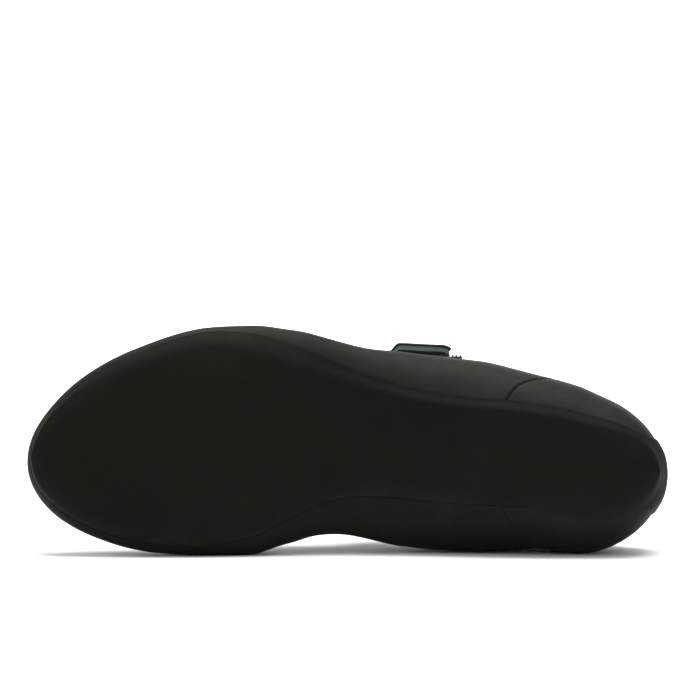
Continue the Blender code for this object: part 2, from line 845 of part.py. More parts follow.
def weigh(meshes):
    """The middle of all the solids together, each taken as equally dense."""
    total, moment = 0.0, Vector()
    for mesh in meshes:
        for face in mesh.polygons:
            a, b, c = (mesh.vertices[v].co for v in face.vertices)
            part = a.dot(b.cross(c)) / 6
            total += part
            moment += part * (a + b + c) / 4
    return moment / total


def build():
    for old in list(bpy.data.objects):
        bpy.data.objects.remove(old)
    collection = bpy.data.collections.new("climbing_shoe")
    bpy.context.scene.collection.children.link(collection)
    meshes = {name: maker() for name, (maker, _, _) in PIECES.items()}

    points = [UPRIGHT @ v.co for mesh in meshes.values() for v in mesh.vertices]
    turn = rest_turn(points, UPRIGHT @ weigh(meshes.values())) @ UPRIGHT
    points = [turn @ v.co for mesh in meshes.values() for v in mesh.vertices]
    lows = [min(p[k] for p in points) for k in range(3)]
    highs = [max(p[k] for p in points) for k in range(3)]
    drop = -lows[2] - FLAT_DEPTH
    shift = Vector((-(lows[0] + highs[0]) / 2, -(lows[1] + highs[1]) / 2, drop))
    placed = Matrix.Translation(shift) @ turn.to_4x4()

    lying = bpy.data.objects.new("lying_shoe", None)
    lying.matrix_world = placed
    collection.objects.link(lying)
    for name, (_, colour, roughness) in PIECES.items():
        mesh = meshes[name]
        press_flat(mesh, placed)
        mesh.materials.append(paint(name, colour, roughness))
        ob = bpy.data.objects.new(name, mesh)
        ob.parent = lying
        collection.objects.link(ob)


build()
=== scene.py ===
# Climbing shoe lying on its inner side: the looks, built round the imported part.
# Shoe frame: +x heel to toe, +y outer side, +z sole to instep, in metres. layDown turns it on its side.
import math

import bpy
import numpy as np
from mathutils import Matrix, Vector


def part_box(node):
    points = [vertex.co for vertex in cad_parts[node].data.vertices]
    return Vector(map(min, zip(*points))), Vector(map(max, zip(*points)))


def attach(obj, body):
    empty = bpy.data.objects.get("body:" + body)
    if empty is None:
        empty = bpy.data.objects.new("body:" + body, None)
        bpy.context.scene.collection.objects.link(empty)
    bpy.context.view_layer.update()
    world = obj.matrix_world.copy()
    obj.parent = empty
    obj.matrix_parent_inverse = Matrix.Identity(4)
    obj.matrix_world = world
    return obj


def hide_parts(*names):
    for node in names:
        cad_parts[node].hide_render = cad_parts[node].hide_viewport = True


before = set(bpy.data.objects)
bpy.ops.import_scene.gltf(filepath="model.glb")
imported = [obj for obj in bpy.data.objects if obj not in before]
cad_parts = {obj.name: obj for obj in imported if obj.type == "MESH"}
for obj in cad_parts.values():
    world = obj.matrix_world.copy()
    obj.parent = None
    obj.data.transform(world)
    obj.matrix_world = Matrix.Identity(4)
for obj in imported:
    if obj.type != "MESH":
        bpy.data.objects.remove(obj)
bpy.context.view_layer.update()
print("frame loaded:", len(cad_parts), "solids")

mm = 0.001
lateral, medial = 1, -1
bothSides = (lateral, medial)

# the foot form that every piece is read from, sizes as in the part
last = {
    "length": 244 * mm,
    "ballWidth": 81.2 * mm,
    "heelWidth": 60 * mm,
    "instepHeight": 61 * mm,
    "toeHeight": 23 * mm,
    "archRise": 9 * mm,
    "heelLength": 34 * mm,
    "toeLength": 71 * mm,
    "widening": (0.3, 0.6),
    "lowering": (0.6, 0.8),
    "lowestWidest": 0.2,
    "turnReach": 18 * mm,
}
layers = {
    "gap": 0.4 * mm,
    "upperWall": 2.0 * mm,
    "rand": 2.0 * mm,
    "sole": 4.0 * mm,
    "heelStrip": 0.6 * mm,
    "hookTapeGap": 0.28 * mm,
    "hookTape": 1.4 * mm,
    "strap": 1.0 * mm,
    "strapLining": 1.9 * mm,
}
# how far soft sides swell past the last: the inner one on to the floor, the outer one under the strap
swelling = {
    medial: {"depth": 2.2 * mm, "middle": 0.355, "reach": 0.105},
    lateral: {"depth": 1.3 * mm, "middle": 0.345, "reach": 0.075},
}
randIn = layers["upperWall"] + layers["gap"]
randOut = randIn + layers["rand"]
collarHeight = 58 * mm
throatHalf = 12 * mm
throatFront = 0.590
soleThinning = {"share": 0.36, "start": 0.72}  # what the sole loses towards its edge
hemTurn = {"width": 7 * mm, "leastShare": 0.12, "closedHalf": 15 * mm}  # the upper's hem under the foot
randClear = 0.08 * mm  # between the sole's edge and the rand

# x, centre, ridge, lateral, medial, rise, height, widest, underLateral, underMedial, over
lastRows = [
    (0.00, -0.050, -0.050, 0.93, 0.93, 0.04, 1.50, 0.23, 2.4, 2.4, 1.5),
    (0.08, -0.048, -0.048, 0.94, 0.94, 0.00, 1.50, 0.23, 2.4, 2.4, 1.4),
    (0.18, -0.010, -0.010, 1.01, 0.98, 0.00, 1.50, 0.24, 2.5, 2.5, 1.7),
    (0.29, 0.018, 0.005, 1.09, 1.08, 0.30, 1.42, 0.27, 2.5, 2.2, 2.4),
    (0.40, 0.030, -0.010, 1.02, 1.00, 0.85, 1.08, 0.32, 2.5, 2.0, 1.9),
    (0.50, 0.040, -0.035, 0.92, 0.84, 1.00, 0.90, 0.32, 2.6, 2.1, 1.8),
    (0.55, 0.026, -0.048, 0.97, 0.80, 0.84, 0.82, 0.28, 2.75, 2.35, 1.8),
    (0.60, 0.012, -0.060, 1.03, 0.86, 0.62, 0.76, 0.25, 2.9, 2.6, 1.8),
    (0.66, 0.000, -0.070, 1.07, 0.97, 0.32, 0.82, 0.20, 3.1, 3.0, 1.8),
    (0.74, -0.008, -0.085, 1.03, 0.99, 0.10, 1.04, 0.17, 3.2, 3.2, 1.9),
    (0.82, -0.034, -0.104, 0.99, 1.00, 0.00, 1.30, 0.19, 3.2, 3.2, 1.9),
    (0.90, -0.065, -0.115, 0.96, 0.99, 0.00, 1.02, 0.26, 3.2, 3.2, 2.0),
    (1.00, -0.125, -0.125, 0.93, 0.94, 0.03, 0.70, 0.36, 3.0, 3.0, 2.2),
]
# height as a share of the collar's, how far the heel stands back there in mm
heelRows = [
    (-0.10, 30.0), (0.00, 14.0), (0.02, 8.8), (0.05, 5.5), (0.10, 2.7), (0.17, 0.8),
    (0.28, 0.0), (0.45, 0.6), (0.65, 2.4), (0.85, 5.4), (1.00, 8.0), (1.60, 20.0),
]
# the same for the toe, height as a share of the toe's
toeRows = [
    (-0.30, 14.0), (0.00, 7.0), (0.02, 4.4), (0.07, 2.6), (0.13, 1.3), (0.22, 0.3), (0.31, 0.0),
    (0.43, 0.4), (0.57, 1.6), (0.70, 3.6), (0.87, 7.0), (1.45, 16.0), (4.00, 34.0),
]
soleRows = [  # x, lateral edge, medial edge
    (0.00, 0.84, 0.84), (0.04, 0.74, 0.74), (0.10, 0.69, 0.66), (0.20, 0.63, 0.61), (0.30, 0.57, 0.59),
    (0.40, 0.64, 0.58), (0.46, 0.73, 0.62), (0.53, 0.82, 0.72), (0.60, 0.89, 0.85),
    (0.67, 0.95, 0.93), (0.74, 0.975, 0.975), (1.00, 0.965, 0.965),
]
collarRows = [
    (0.00, 1.00), (0.05, 0.99), (0.12, 0.92), (0.20, 0.86), (0.28, 0.90), (0.34, 1.02),
    (0.40, 1.30), (1.00, 3.00),
]
throatRows = [
    (0.00, 1.15), (0.36, 1.12), (0.42, 1.00), (0.48, 0.86), (0.54, 0.66), (0.575, 0.42),
    (throatFront, 0.00),
]
randRows = [  # x, side rand's height, heel rand's height
    (0.00, 0.36, 0.76), (0.10, 0.36, 0.73), (0.20, 0.36, 0.60), (0.30, 0.34, 0.44),
    (0.45, 0.31, 0.36), (0.60, 0.33, 0.36), (0.75, 0.36, 0.36), (0.90, 0.33, 0.33),
    (1.00, 0.23, 0.23),
]
seamRows = [(0.00, 0.255), (0.50, 0.229), (0.80, 0.184), (1.00, 0.160), (1.30, 0.145), (2.00, 0.130)]


def between(a, b, t):
    return a + (b - a) * t


def ease(low, high, x):
    t = np.clip((x - low) / (high - low), 0, 1)
    return t * t * (3 - 2 * t)


def curveOf(rows, column=1):
    # a smooth curve through the rows that never overshoots them
    xs = np.array([row[0] for row in rows])
    ys = np.array([row[column] for row in rows])
    rises = np.diff(ys) / np.diff(xs)
    product = rises[:-1] * rises[1:]
    total = rises[:-1] + rises[1:]
    inner = np.where(product > 0, 2 * product / np.where(total == 0, 1, total), 0)
    slopes = np.concatenate([rises[:1], inner, rises[-1:]])

    def value(x):
        x = np.clip(x, xs[0], xs[-1])
        i = np.clip(np.searchsorted(xs, x, side="right") - 1, 0, len(xs) - 2)
        step = xs[i + 1] - xs[i]
        t = (x - xs[i]) / step
        return (
            ys[i] * (1 + 2 * t) * (1 - t) ** 2
            + slopes[i] * step * t * (1 - t) ** 2
            + ys[i + 1] * t * t * (3 - 2 * t)
            + slopes[i + 1] * step * t * t * (t - 1)
        )

    return value


form = {name: curveOf(lastRows, k + 1) for k, name in enumerate(
    ["centre", "ridge", lateral, medial, "rise", "height", "widest", "underLat", "underMed", "over"]
)}
heelBack, toeBack = curveOf(heelRows), curveOf(toeRows)
soleEdge = {lateral: curveOf(soleRows, 1), medial: curveOf(soleRows, 2)}
collarShare, throatShare = curveOf(collarRows), curveOf(throatRows)
randHeight = {"side": curveOf(randRows, 1), "heel": curveOf(randRows, 2)}
seamAt = curveOf(seamRows)


def shareOf(s):
    return (1 - np.cos(np.pi * s)) / 2


def stationOf(x):
    return np.arccos(1 - 2 * np.clip(x, 0, 1)) / np.pi


def asColumn(values):
    return values[:, None]


def halfWidth(x, side):
    unit = between(last["heelWidth"], last["ballWidth"], ease(*last["widening"], x)) / 2
    width = unit * form[side](x)
    swell = swelling[side]
    width = width + swell["depth"] * np.exp(-(((x - swell["middle"]) / swell["reach"]) ** 2))
    for reach in (x * last["length"] / last["heelLength"], (1 - x) * last["length"] / last["toeLength"]):
        width = width * np.sqrt(np.clip(1 - (1 - np.minimum(reach, 1)) ** 2, 0, 1))
    return width


def setback(x, z):
    back = heelBack(z / collarHeight) * mm * (1 - x) ** 3
    front = toeBack(z / last["toeHeight"]) * mm * x**3
    return back - front


def ridgeHeight(x):
    unit = between(last["instepHeight"], last["toeHeight"], ease(*last["lowering"], x))
    return unit * form["height"](x)


class Lattice:
    # one side of the last as a fine net of points and outward directions:
    # s runs heel to toe, row runs from the middle of the underside (0) by the widest line (1)
    # to the ridge (2)
    stations, rows, arcSteps = 401, 241, 121

    def __init__(self, side):
        self.side = side
        s = np.linspace(0, 1, self.stations)
        self.row = np.linspace(0, 2, self.rows)
        x = shareOf(s)
        self.x = x
        half = halfWidth(x, side)
        centre = last["ballWidth"] * form["centre"](x)
        ridge = last["ballWidth"] * form["ridge"](x)
        ridge = between(centre, ridge, np.minimum(1, half / (last["heelWidth"] / 3)))
        low = last["archRise"] * form["rise"](x)
        high = ridgeHeight(x)
        middle = np.maximum(high * form["widest"](x), low + last["lowestWidest"] * (high - low))
        under = asColumn(form["underLat" if side == lateral else "underMed"](x))
        over = asColumn(form["over"](x))
        turn = np.linspace(0, np.pi / 2, self.arcSteps)[None]
        out = np.sin(turn) ** (2 / under)
        down = np.cos(turn) ** (2 / under)
        lowY = asColumn(centre) + side * asColumn(half) * out
        lowZ = asColumn(low) + asColumn(middle - low) * (1 - down)
        highY = asColumn(ridge) + asColumn(centre + side * half - ridge) * np.cos(turn) ** (2 / over)
        highZ = asColumn(middle) + asColumn(high - middle) * np.sin(turn) ** (2 / over)
        widened = np.minimum(1, half / (last["heelWidth"] / 4))
        lowRow = self.spacing(x, lowY, lowZ, widened)
        highRow = self.spacing(x, highY, highZ, widened)
        lineY = np.hstack([lowY, highY[:, 1:]])
        lineZ = np.hstack([lowZ, highZ[:, 1:]])
        lineRow = np.hstack([lowRow, 1 + highRow[:, 1:]])
        self.shares, self.lowRow = out, lowRow
        self.ridge = ridge
        self.y = np.array([np.interp(self.row, r, v) for r, v in zip(lineRow, lineY)])
        self.z = np.array([np.interp(self.row, r, v) for r, v in zip(lineRow, lineZ)])
        length = last["length"] * asColumn(x) + setback(asColumn(x), self.z)
        self.points = np.stack([length, self.y, self.z], -1)
        self.normals = self.outward()

    def spacing(self, x, y, z, widened):
        dy, dz = np.diff(y, axis=1), np.diff(z, axis=1)
        dx = np.diff(setback(asColumn(x), z), axis=1)

        def bends(across, up):
            heading = np.unwrap(np.arctan2(up, across + 1e-12), axis=1)
            return np.abs(np.diff(heading, axis=1, prepend=heading[:, :1]))

        w = asColumn(widened)
        turned = w * bends(self.side * dy, dz) + (1 - w) * bends(np.abs(dx), dz)
        steps = np.sqrt(dx * dx + dy * dy + dz * dz) + last["turnReach"] * turned
        total = np.hstack([np.zeros((len(x), 1)), np.cumsum(steps, axis=1)])
        return total / total[:, -1:]

    def outward(self):
        p = self.points
        i = np.arange(self.stations)
        j = np.clip(np.arange(self.rows), 1, self.rows - 2)
        along = p[np.minimum(i + 2, self.stations - 1)] - p[np.maximum(i - 2, 0)]
        across = p[:, np.minimum(j + 1, self.rows - 1)] - p[:, j - 1]
        n = np.cross(along[:, j], across) * -self.side
        return n / np.maximum(np.linalg.norm(n, axis=2, keepdims=True), 1e-12)

    def sample(self, s, row):
        fi = np.clip(s, 0, 1) * (self.stations - 1)
        fj = np.clip(row, 0, 2) / 2 * (self.rows - 1)
        i = np.minimum(fi.astype(int), self.stations - 2)
        j = np.minimum(fj.astype(int), self.rows - 2)
        a, b = (fi - i)[..., None], (fj - j)[..., None]

        def mix(net):
            low = net[i, j] * (1 - a) + net[i + 1, j] * a
            high = net[i, j + 1] * (1 - a) + net[i + 1, j + 1] * a
            return low * (1 - b) + high * b

        normal = mix(self.normals)
        return mix(self.points), normal / np.linalg.norm(normal, axis=-1, keepdims=True)

    def perStation(self, s, values):
        return np.interp(s, np.linspace(0, 1, self.stations), values)

    def rowAtShare(self, share):
        return np.array([np.interp(v, o, r) for v, o, r in zip(share, self.shares, self.lowRow)])

    def rowAtHeight(self, height):
        over = self.row >= 1
        return np.array([np.interp(h, z[over], self.row[over]) for h, z in zip(height, self.z)])

    def rowAtRidgeDistance(self, distance):
        over = self.row >= 1
        rows = self.row[over][::-1]
        return np.array([
            np.interp(d, np.abs(y[over] - r)[::-1], rows)
            for d, y, r in zip(distance, self.y, self.ridge)
        ])


sides = {side: Lattice(side) for side in bothSides}
for edge in (0, -1):  # both sides share one direction where they meet
    for cut in ((slice(None), edge), (edge, slice(None))):
        shared = sides[lateral].normals[cut] + sides[medial].normals[cut]
        shared /= np.maximum(np.linalg.norm(shared, axis=-1, keepdims=True), 1e-12)
        sides[lateral].normals[cut] = sides[medial].normals[cut] = shared

# rows of the edges that pieces share, at every station of the net
edges = {}
rowStep = 0.004
for side, net in sides.items():
    allStations = np.linspace(0, 1, net.stations)
    sole = net.rowAtShare(soleEdge[side](net.x))
    here, _ = net.sample(allStations, sole)
    ahead, _ = net.sample(allStations, sole + rowStep)
    reach = np.linalg.norm((ahead - here)[:, 1:], axis=1)
    throat = net.rowAtRidgeDistance(throatHalf * throatShare(net.x))
    collar = net.rowAtHeight(collarHeight * collarShare(net.x))
    collar = np.where(collarHeight * collarShare(net.x) < net.z[:, -1], collar, 2.0)
    opening = np.where(net.x >= throatFront, 2.0, np.minimum(throat, collar))
    half = np.minimum(halfWidth(net.x, lateral), halfWidth(net.x, medial))
    hemShare = soleEdge[side](net.x) - hemTurn["width"] / np.maximum(halfWidth(net.x, side), mm)
    hem = net.rowAtShare(np.maximum(hemShare, hemTurn["leastShare"]))
    edges[side] = {
        "sole": sole,
        "randLow": sole + rowStep * randClear / np.maximum(reach, 1e-6),
        "side": net.rowAtHeight(collarHeight * randHeight["side"](net.x)),
        "heel": net.rowAtHeight(collarHeight * randHeight["heel"](net.x)),
        "opening": opening,
        "hem": np.where(half < hemTurn["closedHalf"], 0.0, hem),
    }
print("last measured:", sides[lateral].points.shape)


# steps from 0 to 1: even, close together at both ends, or at the last one only
def evenSteps(count):
    return np.linspace(0, 1, count)


def cosineSteps(count):
    return (1 - np.cos(np.linspace(0, np.pi, count))) / 2


def quarterSteps(count):
    return np.sin(np.linspace(0, np.pi / 2, count))


def crossed(columns, rows):
    return np.meshgrid(columns, rows, indexing="ij")


def edgeRow(side, name, s):
    return np.interp(s, evenSteps(sides[side].stations), edges[side][name])


def on(side, s, row, out=0.0):
    point, normal = sides[side].sample(np.asarray(s, float), np.asarray(row, float))
    return point + normal * np.asarray(out, float)[..., None]


def lengths(points, axis):
    # distance along the net from its first line to its last
    steps = np.linalg.norm(np.diff(points, axis=axis), axis=-1)
    start = np.zeros_like(np.take(steps, [0], axis=axis))
    return np.cumsum(np.concatenate([start, steps], axis=axis), axis=axis)


def lengthsLeft(points, axis):
    # the same, to its last line
    run = lengths(points, axis)
    return np.take(run, [-1], axis=axis) - run


def toBorder(points):
    # distance to the nearest of a net's four borders
    both = [np.minimum(lengths(points, axis), lengthsLeft(points, axis)) for axis in (0, 1)]
    return np.minimum(*both)


def roundOff(distance, radius):
    # how far a rounded border drops below the full thickness this far in from the border
    t = np.clip(distance / radius, 0, 1)
    return radius * (1 - np.sqrt(np.clip(1 - (1 - t) ** 2, 0, 1)))


def ripple(p, size, seed):
    # gentle unevenness of hand-pulled rubber and cloth, between -1 and 1
    total = np.zeros(p.shape[:-1])
    for k in range(6):
        a = seed * 1.7 + k * 2.399
        way = np.array([math.cos(a), math.sin(a) * math.cos(k + seed), math.sin(a) * math.sin(k + seed)])
        total += np.sin(p @ way * (2 * math.pi / size) * (1 + 0.23 * k) + seed + k * k)
    return total / 6


# how the shoe lies: degrees it leans on its inner side, and turns on the floor
lying = {"lean": 10.679, "turn": -2.580}
upright = Matrix(((-1, 0, 0), (0, 0, 1), (0, 1, 0)))
down = Vector((math.tan(math.radians(lying["turn"])), -1, math.tan(math.radians(lying["lean"]))))
turned = (upright @ down.normalized()).rotation_difference(Vector((0, 0, -1))).to_matrix() @ upright
layDown = np.array(turned)


def shoeBox(points):
    flat = points.reshape(-1, 3) @ layDown.T
    return (flat.min(0) + flat.max(0)) / 2


def soleOut(v):
    return randIn + layers["sole"] * (1 - soleThinning["share"] * ease(soleThinning["start"], 1, v))


def soleNet(side, columns, rows):
    s, v = crossed(evenSteps(columns), quarterSteps(rows))
    return s, v, v * edgeRow(side, "sole", s)


outlines = []
for side in bothSides:
    s, v, row = soleNet(side, 161, 40)
    outlines.append(on(side, s, row, soleOut(v)))
    outlines.append(on(side, s, row, randIn))
low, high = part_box("outsole")
shift = np.array((low + high) / 2) - shoeBox(np.array(outlines))
floorClear = 0.02 * mm
print("laid down, moved by", shift.round(5))


def toRoom(points):
    placed = points @ layDown.T + shift
    placed[..., 2] = np.maximum(placed[..., 2], floorClear)  # rubber presses flat on the floor
    return placed


def linked(name, data):
    obj = bpy.data.objects.new(name, data)
    bpy.context.scene.collection.objects.link(obj)
    return obj


def addMesh(name, points, faces, marks=None):
    mesh = bpy.data.meshes.new(name)
    mesh.from_pydata(toRoom(np.asarray(points)).tolist(), [], faces)
    for mark, values in (marks or {}).items():
        layer = mesh.attributes.new(mark, "FLOAT", "POINT")
        layer.data.foreach_set("value", np.asarray(values, np.float32))
    mesh.shade_smooth()
    return linked(name, mesh)


def cellsOf(ids):
    return np.stack([ids[:-1, :-1], ids[:-1, 1:], ids[1:, 1:], ids[1:, :-1]], -1).reshape(-1, 4)


def gathered(parts):
    # many small shapes as one list of points and one of faces
    points, faces, base = [], [], 0
    for some, theirs in parts:
        points.append(some)
        faces += [[i + base for i in face] for face in theirs]
        base += len(some)
    return np.vstack(points), faces


def skin(side, s, row, inner, outer, **marks):
    # one side's share of a closed sheet: its net on the last, and its two faces above it
    return {"side": side, "s": s, "row": row, "inner": inner, "outer": outer, "marks": marks}


weldsPerMetre = 5e5  # points closer than 2 micrometres count as one


def closedSheet(name, patches):
    # patches of the last's skin given thickness, welded where they meet, walled at open borders
    inner, outer, quads, marks, start = [], [], [], {}, 0
    for patch in patches:
        s, row, side = patch["s"], patch["row"], patch["side"]
        inner.append(on(side, s, row, patch["inner"]).reshape(-1, 3))
        outer.append(on(side, s, row, patch["outer"]).reshape(-1, 3))
        ids = np.arange(s.size).reshape(s.shape) + start
        cells = cellsOf(ids)
        quads.append(cells if side == lateral else cells[:, ::-1])
        for mark, values in patch["marks"].items():
            marks.setdefault(mark, []).append(np.broadcast_to(values, s.shape).reshape(-1))
        start += s.size
    inner, outer, quads = np.vstack(inner), np.vstack(outer), np.vstack(quads)
    keys = np.round(np.hstack([inner, outer]) * weldsPerMetre).astype(np.int64)
    _, first, back = np.unique(keys, axis=0, return_index=True, return_inverse=True)
    quads = back.reshape(-1)[quads]
    inner, outer = inner[first], outer[first]
    count = len(first)
    faces = []
    for quad in quads.tolist():
        loop = [v for k, v in enumerate(quad) if v != quad[k - 1]]
        if len(set(loop)) > 2:
            faces.append(loop)
    used = {(f[k - 1], f[k]) for f in faces for k in range(len(f))}
    walls = [[b, a, a + count, b + count] for a, b in used if (b, a) not in used]
    faces = faces + [[v + count for v in reversed(f)] for f in faces] + walls
    both = {mark: np.tile(np.concatenate(values)[first], 2) for mark, values in marks.items()}
    return addMesh(name, np.vstack([outer, inner]), faces, both)


def bothSheets(name, patch):
    return closedSheet(name, [patch(side) for side in bothSides])


def finish(obj, material, node, replaced=()):
    # dresses one piece and hangs it on the frame
    obj.data.materials.append(material)
    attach(obj, "root")
    if replaced:
        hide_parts(*replaced)
    print("made", obj.name, len(obj.data.polygons), "faces")
    return obj


def tube(path, normals, wide, tall, closed=True, corners=10):
    # a flattened tube along a path: wide along the surface, tall away from it
    path, normals = np.asarray(path), np.asarray(normals)
    if closed:
        ahead = np.roll(path, -1, 0) - np.roll(path, 1, 0)
    else:
        ahead = np.gradient(path, axis=0)
    ahead /= np.linalg.norm(ahead, axis=1, keepdims=True)
    across = np.cross(ahead, normals)
    across /= np.linalg.norm(across, axis=1, keepdims=True)
    lift = np.cross(across, ahead)
    a = np.linspace(0, 2 * np.pi, corners, endpoint=False)
    wide = np.broadcast_to(wide, len(path))[:, None, None]
    tall = np.broadcast_to(tall, len(path))[:, None, None]
    rings = (
        path[:, None]
        + across[:, None] * np.cos(a)[None, :, None] * wide
        + lift[:, None] * np.sin(a)[None, :, None] * tall
    )
    ids = np.arange(rings.shape[0] * corners).reshape(-1, corners)
    nxt = np.roll(ids, -1, 1)
    if closed:
        quads = np.stack([ids, nxt, np.roll(nxt, -1, 0), np.roll(ids, -1, 0)], -1).reshape(-1, 4).tolist()
    else:
        quads = np.stack([ids[:-1], nxt[:-1], nxt[1:], ids[1:]], -1).reshape(-1, 4).tolist()
        quads += [ids[0, ::-1].tolist(), ids[-1].tolist()]
    return rings.reshape(-1, 3), quads


def stitches(path, normals, long, gap, thick, sink=0.3):
    # thread stitches laid end to end along a path, each dipping into the cloth at both ends
    path = np.asarray(path)
    run = np.concatenate([[0], np.cumsum(np.linalg.norm(np.diff(path, axis=0), axis=1))])
    count = int(run[-1] // (long + gap))
    size = thick * np.array([0.45, 0.9, 1, 1, 0.9, 0.45])
    arch = 1 - (np.linspace(-1, 1, len(size))) ** 4
    for k in range(count):
        t = (k + 0.5) * run[-1] / count + np.linspace(-0.5, 0.5, len(size)) * long
        line = np.stack([np.interp(t, run, path[:, c]) for c in range(3)], -1)
        up = np.stack([np.interp(t, run, normals[:, c]) for c in range(3)], -1)
        line = line + up * (thick * (arch - sink))[:, None]
        yield tube(line, up, size, size * 0.8, closed=False, corners=6)


def sewn(name, rows, long=2.4 * mm, gap=0.9 * mm, thick=0.38 * mm):
    # every row of stitches of one piece, as one mesh
    return addMesh(name, *gathered(stitch for row in rows for stitch in stitches(*row, long, gap, thick)))


class Shades:
    # a small helper round one material's nodes
    def __init__(self, name, colour, roughness, specular=0.5, sheen=0.0):
        self.material = bpy.data.materials.new(name)
        self.material.use_nodes = True
        self.nodes = self.material.node_tree.nodes
        self.links = self.material.node_tree.links
        self.shader = self.nodes["Principled BSDF"]
        values = {
            "Base Color": (*colour, 1), "Roughness": roughness, "Specular IOR Level": specular,
            "Sheen Weight": sheen, "Sheen Roughness": 0.5,
        }
        for socket, value in values.items():
            self.shader.inputs[socket].default_value = value
        self.place = self.nodes.new("ShaderNodeTexCoord").outputs["Object"]

    def put(self, kind, **values):
        node = self.nodes.new("ShaderNode" + kind)
        for key, value in values.items():
            if hasattr(node, key):
                setattr(node, key, value)
            else:
                node.inputs[key.replace("_", " ")].default_value = value
        return node

    def noise(self, size, detail=3.0, rough=0.55):
        node = self.put("TexNoise", Scale=1 / size, Detail=detail, Roughness=rough)
        self.links.new(self.place, node.inputs["Vector"])
        return node.outputs["Fac"]

    def ramp(self, fac, low, high):
        node = self.put("MapRange", interpolation_type="SMOOTHSTEP")
        node.inputs["From Min"].default_value = low
        node.inputs["From Max"].default_value = high
        self.links.new(fac, node.inputs["Value"])
        return node.outputs["Result"]

    def math(self, operation, a, b):
        node = self.put("Math", operation=operation)
        for socket, value in zip(node.inputs, (a, b)):
            if isinstance(value, (int, float)):
                socket.default_value = value
            else:
                self.links.new(value, socket)
        return node.outputs[0]

    def mark(self, name):
        return self.put("Attribute", attribute_name=name).outputs["Fac"]

    def tint(self, fac, under, over):
        node = self.put("Mix", data_type="RGBA")
        for socket, value in zip((node.inputs[6], node.inputs[7]), (under, over)):
            if isinstance(value, tuple):
                socket.default_value = (*value, 1)
            else:
                self.links.new(value, socket)
        self.links.new(fac, node.inputs[0])
        return node.outputs[2]

    def colour(self, socket):
        self.links.new(socket, self.shader.inputs["Base Color"])

    def roughness(self, fac, low, high):
        node = self.put("MapRange")
        node.inputs["To Min"].default_value = low
        node.inputs["To Max"].default_value = high
        self.links.new(fac, node.inputs["Value"])
        self.links.new(node.outputs["Result"], self.shader.inputs["Roughness"])

    def bump(self, *layers):
        # layers of (height, distance) from coarse to fine
        normal = None
        for height, distance in layers:
            node = self.put("Bump", Distance=distance, Strength=1.0)
            self.links.new(height, node.inputs["Height"])
            if normal:
                self.links.new(normal, node.inputs["Normal"])
            normal = node.outputs["Normal"]
        self.links.new(normal, self.shader.inputs["Normal"])


def rubber(name, dark, light, worn, specular=0.3, roughness=(0.5, 0.7)):
    # matte moulded rubber: cloudy, a little dusty, paler where it is rubbed, and painted darker as shade
    # where its shade mark is set
    look = Shades(name, dark, roughness[1], specular)
    cloud = look.ramp(look.noise(30 * mm, 3.0), 0.25, 0.8)
    base = look.tint(cloud, dark, light)
    dust = look.ramp(look.noise(0.9 * mm, 2.0), 0.62, 0.78)
    dusty = look.math("MULTIPLY", dust, look.ramp(look.noise(14 * mm, 3.0), 0.4, 0.7))
    base = look.tint(look.math("MULTIPLY", dusty, 0.35), base, worn)
    palerPatches = look.math("MULTIPLY", look.mark("wear"), look.ramp(look.noise(5 * mm, 4.0), 0.25, 0.65))
    base = look.tint(palerPatches, base, worn)
    # painted shade: a darker copy of the rubber's own colour, laid on by the shade mark
    shaded = tuple(0.45 * c for c in dark)
    look.colour(look.tint(look.math("MULTIPLY", look.mark("shade"), 0.9), base, shaded))
    look.roughness(look.noise(6 * mm, 4.0), *roughness)
    look.bump((look.noise(9 * mm, 3.0), 0.25 * mm), (look.noise(0.8 * mm, 3.0), 0.03 * mm))
    return look.material


def cloth(name, dark, light, thread=0.55 * mm, sheen=0.25, roughness=0.88, relief=0.12 * mm, under=None):
    # woven or brushed cloth: two crossed thread directions over a cloudy dye
    look = Shades(name, dark, roughness, 0.25, sheen)
    waves = []
    for way, turn in (("X", (0, 0, 0.6)), ("Z", (0.5, 0, 0))) if thread else ():
        placed = look.put("Mapping")
        placed.inputs["Rotation"].default_value = turn
        look.links.new(look.place, placed.inputs["Vector"])
        wave = look.put("TexWave", bands_direction=way, Scale=1 / (thread * 6.28))
        wave.inputs["Distortion"].default_value = 1.5
        wave.inputs["Detail"].default_value = 2.0
        wave.inputs["Detail Scale"].default_value = 2.0
        look.links.new(placed.outputs["Vector"], wave.inputs["Vector"])
        waves.append(wave.outputs["Fac"])
    weave = look.math("MULTIPLY", *waves) if thread else look.noise(0.7 * mm, 4.0, 0.7)
    cloud = look.math("MULTIPLY", look.noise(12 * mm), 0.5)
    mixed = look.math("ADD", look.math("MULTIPLY", weave, 0.6), cloud)
    dyed = look.tint(mixed, dark, light)
    if under:  # another colour on the inner face
        dyed = look.tint(look.ramp(look.mark("under"), 0.86, 0.98), dyed, under)
    look.colour(dyed)
    look.roughness(look.noise(3 * mm), roughness - 0.1, min(1.0, roughness + 0.08))
    look.bump((look.noise(7 * mm, 3.0), 0.4 * mm), (weave, relief))
    return look.material


